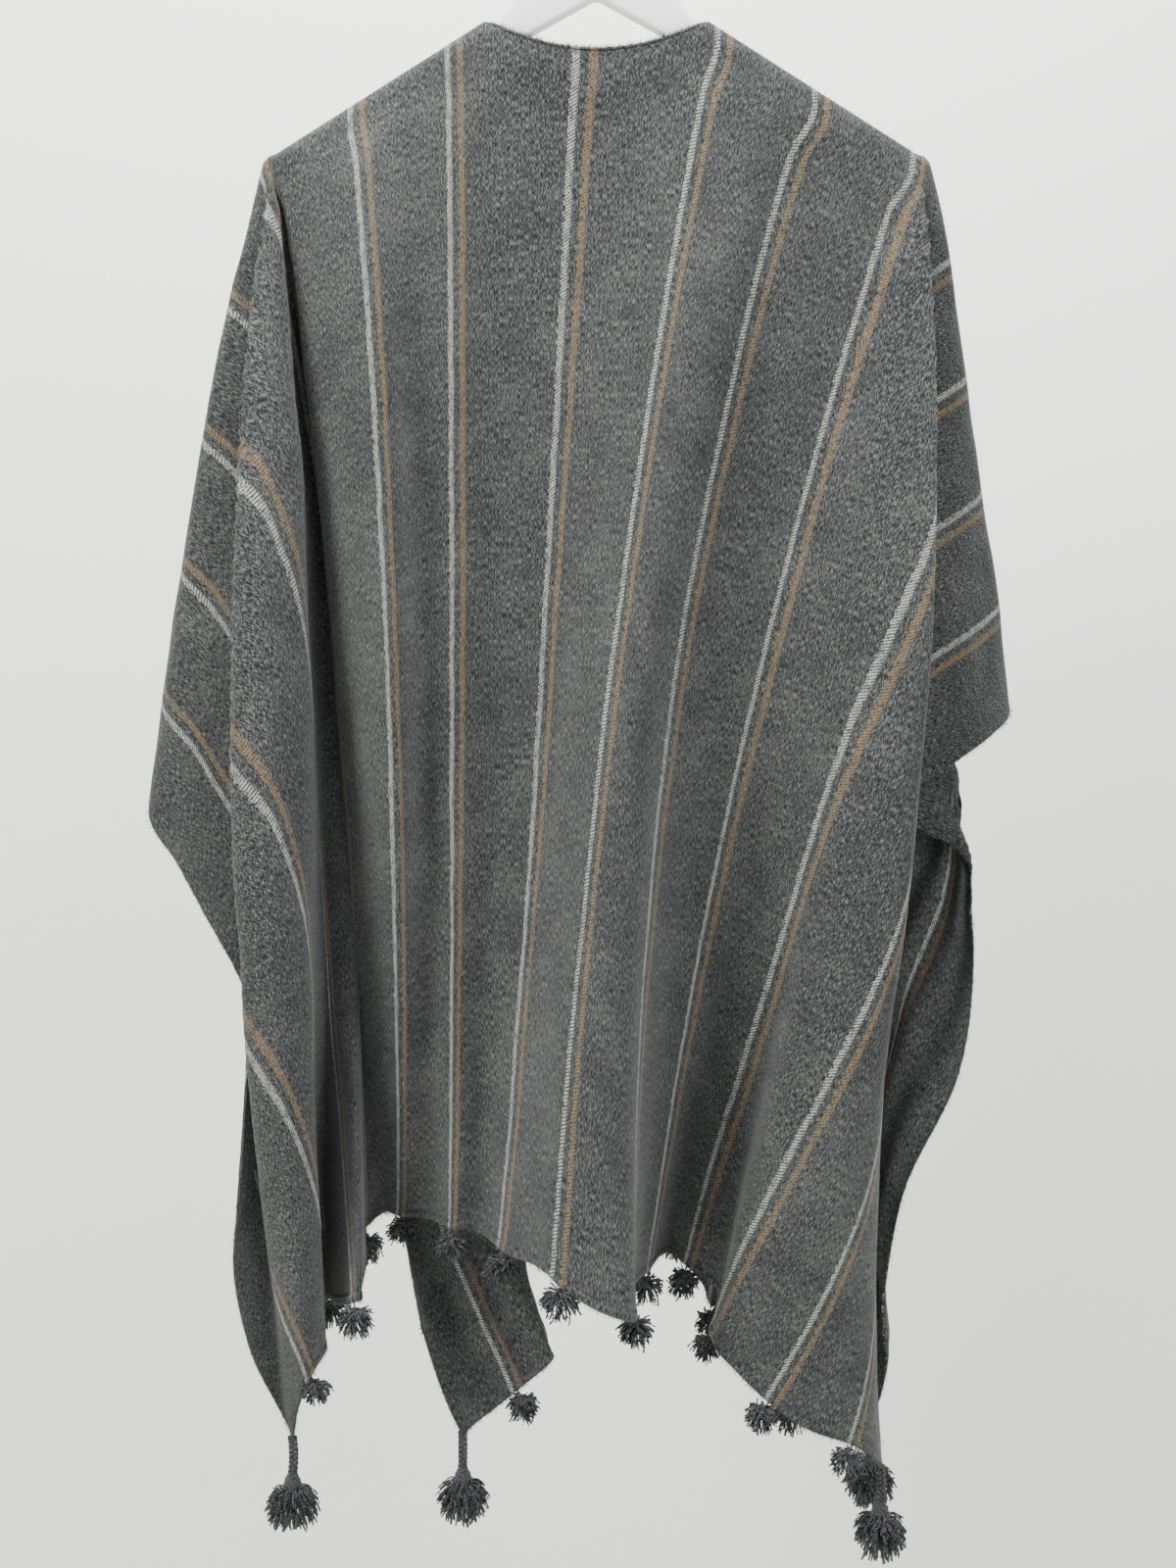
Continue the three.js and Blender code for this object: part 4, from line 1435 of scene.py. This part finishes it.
    def build(self) -> None:
        d = self.drape
        for stripe in range(d.first_stripe, d.last_stripe + 1):
            number = stripe - d.first_stripe + 1
            self._place(self.pompom, f"pom_back_{number:02d}", d.stripe_u(stripe), True)
            if stripe == d.centre_stripe:
                continue
            side = "left" if stripe < d.centre_stripe else "right"
            self._place(self.pompom, f"pom_{side}_{number:02d}", d.stripe_u(stripe), False)
        for side, u in (("left", d.edge_left), ("right", d.edge_right)):
            self._place(self.tassel, f"tassel_back_{side}", u, True)
            self._place(self.tassel, f"tassel_front_{side}", u, False)

    def _place(self, maker: Callable[..., bpy.types.Object], node: str, u: float, is_back: bool) -> None:
        """Makes one trimming and lets it stand for its CAD node."""
        seed = sum(ord(letter) * (i + 3) for i, letter in enumerate(node))
        piece = maker(node, u, is_back, seed)
        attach(piece, "root")
        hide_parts(node)
        LOG.info("%s: %d faces", piece.name, len(piece.data.polygons))


# ---- Hanger -----------------------------------------------------------------------------------


@dataclass
class Hanger:
    """Broad moulded hanger with a wire hook."""

    drape: Drape
    arm_thickness: float = 10.0
    arm_depth: float = 25.0
    tip_round: float = 7.0
    hub_top: float = -46.0
    hub_half_width: float = 13.0
    crotch: float = -116.0
    clearance: float = 0.6
    dip: float = 4.0
    edge_round: float = 3.6
    corner_round: float = 3.4
    inner_bend: tuple[float, float] = (52.0, -145.0)
    wire: float = 4.0
    hook_radius: float = 22.0
    hook_start: float = -72.0
    hook_end: float = 196.0

    def outline(self) -> list[tuple[float, float]]:
        """Corner points of the body, seen from the front."""
        d = self.drape
        drop = d.wall / 2 + self.clearance

        def top_at(x: float) -> float:
            """Height of the arm's top edge."""
            return d.shoulder_top - (x - d.neck_half_width) * d.shoulder_slope - drop

        tip, rise, full = d.tip_x - 2, d.neck_half_width - 7, d.neck_half_width + 60
        half = [
            (self.hub_half_width * 0.55, self.hub_top),
            (self.hub_half_width, self.hub_top - 6),
            (self.hub_half_width + 3, self.hub_top - 22),
            (rise - 16, top_at(rise) + 18),
            (rise, top_at(rise) - self.dip),
            (full, top_at(full)),
            (tip - self.tip_round, top_at(tip - self.tip_round)),
            (tip, top_at(tip) - self.tip_round * 0.6),
            (tip - 2, top_at(tip) - self.tip_round * 2),
            (tip - 18, top_at(tip) - self.tip_round * 1.6),
            (d.neck_half_width, top_at(d.neck_half_width) - self.arm_depth),
            self.inner_bend,
        ]
        return half + [(0.0, self.crotch)] + [(-x, z) for x, z in reversed(half)]

    def body(self, material: bpy.types.Material) -> bpy.types.Object:
        """Builds the moulded body, its corners and edges rounded.

        Args:
            material: The plastic.

        Returns:
            The body's object.
        """
        mesh = bpy.data.meshes.new("hanger_body")
        bm = bmesh.new()
        y = -self.arm_thickness / 2 * MM
        ring = [bm.verts.new((x * MM, y, z * MM)) for x, z in self.outline()]
        face = bm.faces.new(ring)
        made = bmesh.ops.extrude_face_region(bm, geom=[face])
        moved = [item for item in made["geom"] if isinstance(item, bmesh.types.BMVert)]
        bmesh.ops.translate(bm, verts=moved, vec=(0, self.arm_thickness * MM, 0))
        bm.normal_update()
        across = [edge for edge in bm.edges if abs(edge.verts[0].co.y - edge.verts[1].co.y) > 0.5 * MM]
        rounds = {"profile": 0.5, "affect": "EDGES"}
        bmesh.ops.bevel(bm, geom=across, offset=self.corner_round * MM, segments=5, **rounds)
        rims = [edge for edge in bm.edges if len(edge.link_faces) == 2 and edge.calc_face_angle() > 1.2]
        bmesh.ops.bevel(bm, geom=rims, offset=self.edge_round * MM, segments=4, clamp_overlap=True, **rounds)
        bmesh.ops.recalc_face_normals(bm, faces=bm.faces)
        for item in bm.faces:
            item.smooth = True
        bm.to_mesh(mesh)
        bm.free()
        mesh.set_sharp_from_angle(angle=math.radians(50))
        mesh.materials.append(material)
        made_object = bpy.data.objects.new("hanger_body", mesh)
        bpy.context.scene.collection.objects.link(made_object)
        return made_object

    def hook(self, material: bpy.types.Material) -> bpy.types.Object:
        """Builds the wire hook with a rounded end.

        Args:
            material: The steel.

        Returns:
            The hook's object.
        """
        radius = self.wire / 2
        centre = radius - self.hook_radius
        turn = np.radians(np.linspace(self.hook_start, self.hook_end, 60))
        arc = np.stack(
            [self.hook_radius * np.cos(turn), 0 * turn, centre + self.hook_radius * np.sin(turn)], axis=1
        )
        foot = np.array([(0.0, 0.0, self.hub_top - 3.0), (0.0, 0.0, self.hub_top + 1.2)])
        knee = np.array([(1.4, 0.0, self.hub_top + 3.2), (4.0, 0.0, self.hub_top + 4.6)])
        path = np.concatenate([foot, knee, arc])[None]
        size = np.full(path.shape[:2], radius)
        size[:, -2:] = (radius * 0.92, radius * 0.55)
        tubes = Tubes()
        tubes.add(path, size, 16)
        end = path[:, -2:] + (path[:, -1:] - path[:, -2:-1]) * np.array([0.0, 0.25])[None, :, None]
        tubes.add(end, np.full(end.shape[:2], radius * 0.5), 4)
        return tubes.build("hook_wire", material)

    def build(self, plastic: bpy.types.Material, steel: bpy.types.Material) -> None:
        for piece, node, slot in (
            (self.body(plastic), "hanger", "hanger_plastic"),
            (self.hook(steel), "hanger_hook", "hook_steel"),
        ):
            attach(piece, "root")
            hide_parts(node)
            LOG.info("%s: %d faces", piece.name, len(piece.data.polygons))


# ---- Studio -----------------------------------------------------------------------------------


class Lamp(NamedTuple):
    """A square area light: where it stands, its side, power in watts and tint, in metres."""

    name: str
    place: Triple
    size: float
    power: float
    tint: Triple


LAMPS = [
    Lamp("key", (-1.7, -1.5, 0.7), 0.9, 84.0, (1.0, 0.995, 0.975)),
    Lamp("fill", (1.8, -1.4, 0.1), 1.2, 34.0, (0.98, 0.99, 1.0)),
    Lamp("top", (0.0, -0.9, 1.3), 1.2, 20.0, (1.0, 1.0, 1.0)),
]
WALL_LAMP = Lamp("wash", (0.0, 0.1, 1.1), 1.6, 84.0, (1.0, 1.0, 0.985))


@dataclass
class Studio:
    """Pale wall and floor, soft lights, and the camera, in metres."""

    distance: float = 1.300
    centre_x: float = -0.006
    centre_z: float = -0.662
    view_height: float = 1.092
    wall_y: float = 0.62
    floor_z: float = -1.62
    wall_colour: Triple = (0.90, 0.905, 0.89)
    floor_colour: Triple = (0.72, 0.72, 0.70)
    sky_colour: Triple = (0.90, 0.91, 0.90)
    sky_strength: float = 0.58
    plane_size: float = 6.0

    def plane(self, name: str, place: Triple, tilt: float, paint: Paint) -> None:
        """Adds a square stage plane.

        Args:
            name: Its name.
            place: Its middle.
            tilt: Its rotation about X.
            paint: Its finish.
        """
        mesh = bpy.data.meshes.new(name)
        half = self.plane_size / 2
        corners = [(-half, -half, 0), (half, -half, 0), (half, half, 0), (-half, half, 0)]
        mesh.from_pydata(corners, [], [(0, 1, 2, 3)])
        mesh.materials.append(paint.material())
        plane = bpy.data.objects.new(name, mesh)
        plane.location, plane.rotation_euler = place, (tilt, 0.0, 0.0)
        bpy.context.scene.collection.objects.link(plane)

    def light(self, lamp: Lamp, target: Triple) -> None:
        """Adds a lamp that faces a target."""
        data = bpy.data.lights.new(lamp.name, "AREA")
        data.size, data.energy, data.color = lamp.size, lamp.power, lamp.tint
        made = bpy.data.objects.new(lamp.name, data)
        made.location = lamp.place
        aim = Vector(target) - Vector(lamp.place)
        made.rotation_euler = aim.to_track_quat("-Z", "Y").to_euler()
        bpy.context.scene.collection.objects.link(made)

    def camera(self) -> None:
        """Adds the level camera that faces the cape's back."""
        data = bpy.data.cameras.new("camera")
        data.sensor_fit, data.sensor_width, data.sensor_height = "VERTICAL", 36.0, 36.0
        data.lens = data.sensor_height * self.distance / self.view_height
        made = bpy.data.objects.new("camera", data)
        made.location = (self.centre_x, -self.distance, self.centre_z)
        made.rotation_euler = (math.pi / 2, 0.0, 0.0)
        bpy.context.scene.collection.objects.link(made)
        bpy.context.scene.camera = made

    def build(self) -> None:
        """Builds the stage, the lights and the world."""
        wall_paint = Paint("wall_paint", self.wall_colour, one_sided=True)
        self.plane("wall", (0.0, self.wall_y, -0.6), math.pi / 2, wall_paint)
        self.plane("floor", (0.0, 0.0, self.floor_z), 0.0, Paint("floor_paint", self.floor_colour))
        for lamp in LAMPS:
            self.light(lamp, (0.0, 0.0, self.centre_z))
        self.light(WALL_LAMP, (0.0, self.wall_y, 0.0))
        world = bpy.data.worlds.new("studio")
        world.use_nodes = True
        background = world.node_tree.nodes["Background"]
        background.inputs["Color"].default_value = (*self.sky_colour, 1.0)
        background.inputs["Strength"].default_value = self.sky_strength
        bpy.context.scene.world = world


def main() -> None:
    """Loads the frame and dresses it."""
    logging.basicConfig(level=logging.INFO, format="%(name)s: %(message)s")
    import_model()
    studio = Studio()
    studio.camera()
    drape = Drape()
    wool = Wool().material()
    for panel in Panel:
        Cloth(drape, panel).build(wool)
    Trim(drape, Yarn().material()).build()
    Hanger(drape).build(Plastic().material(), Steel().material())
    studio.build()


if __name__ == "__main__":
    main()
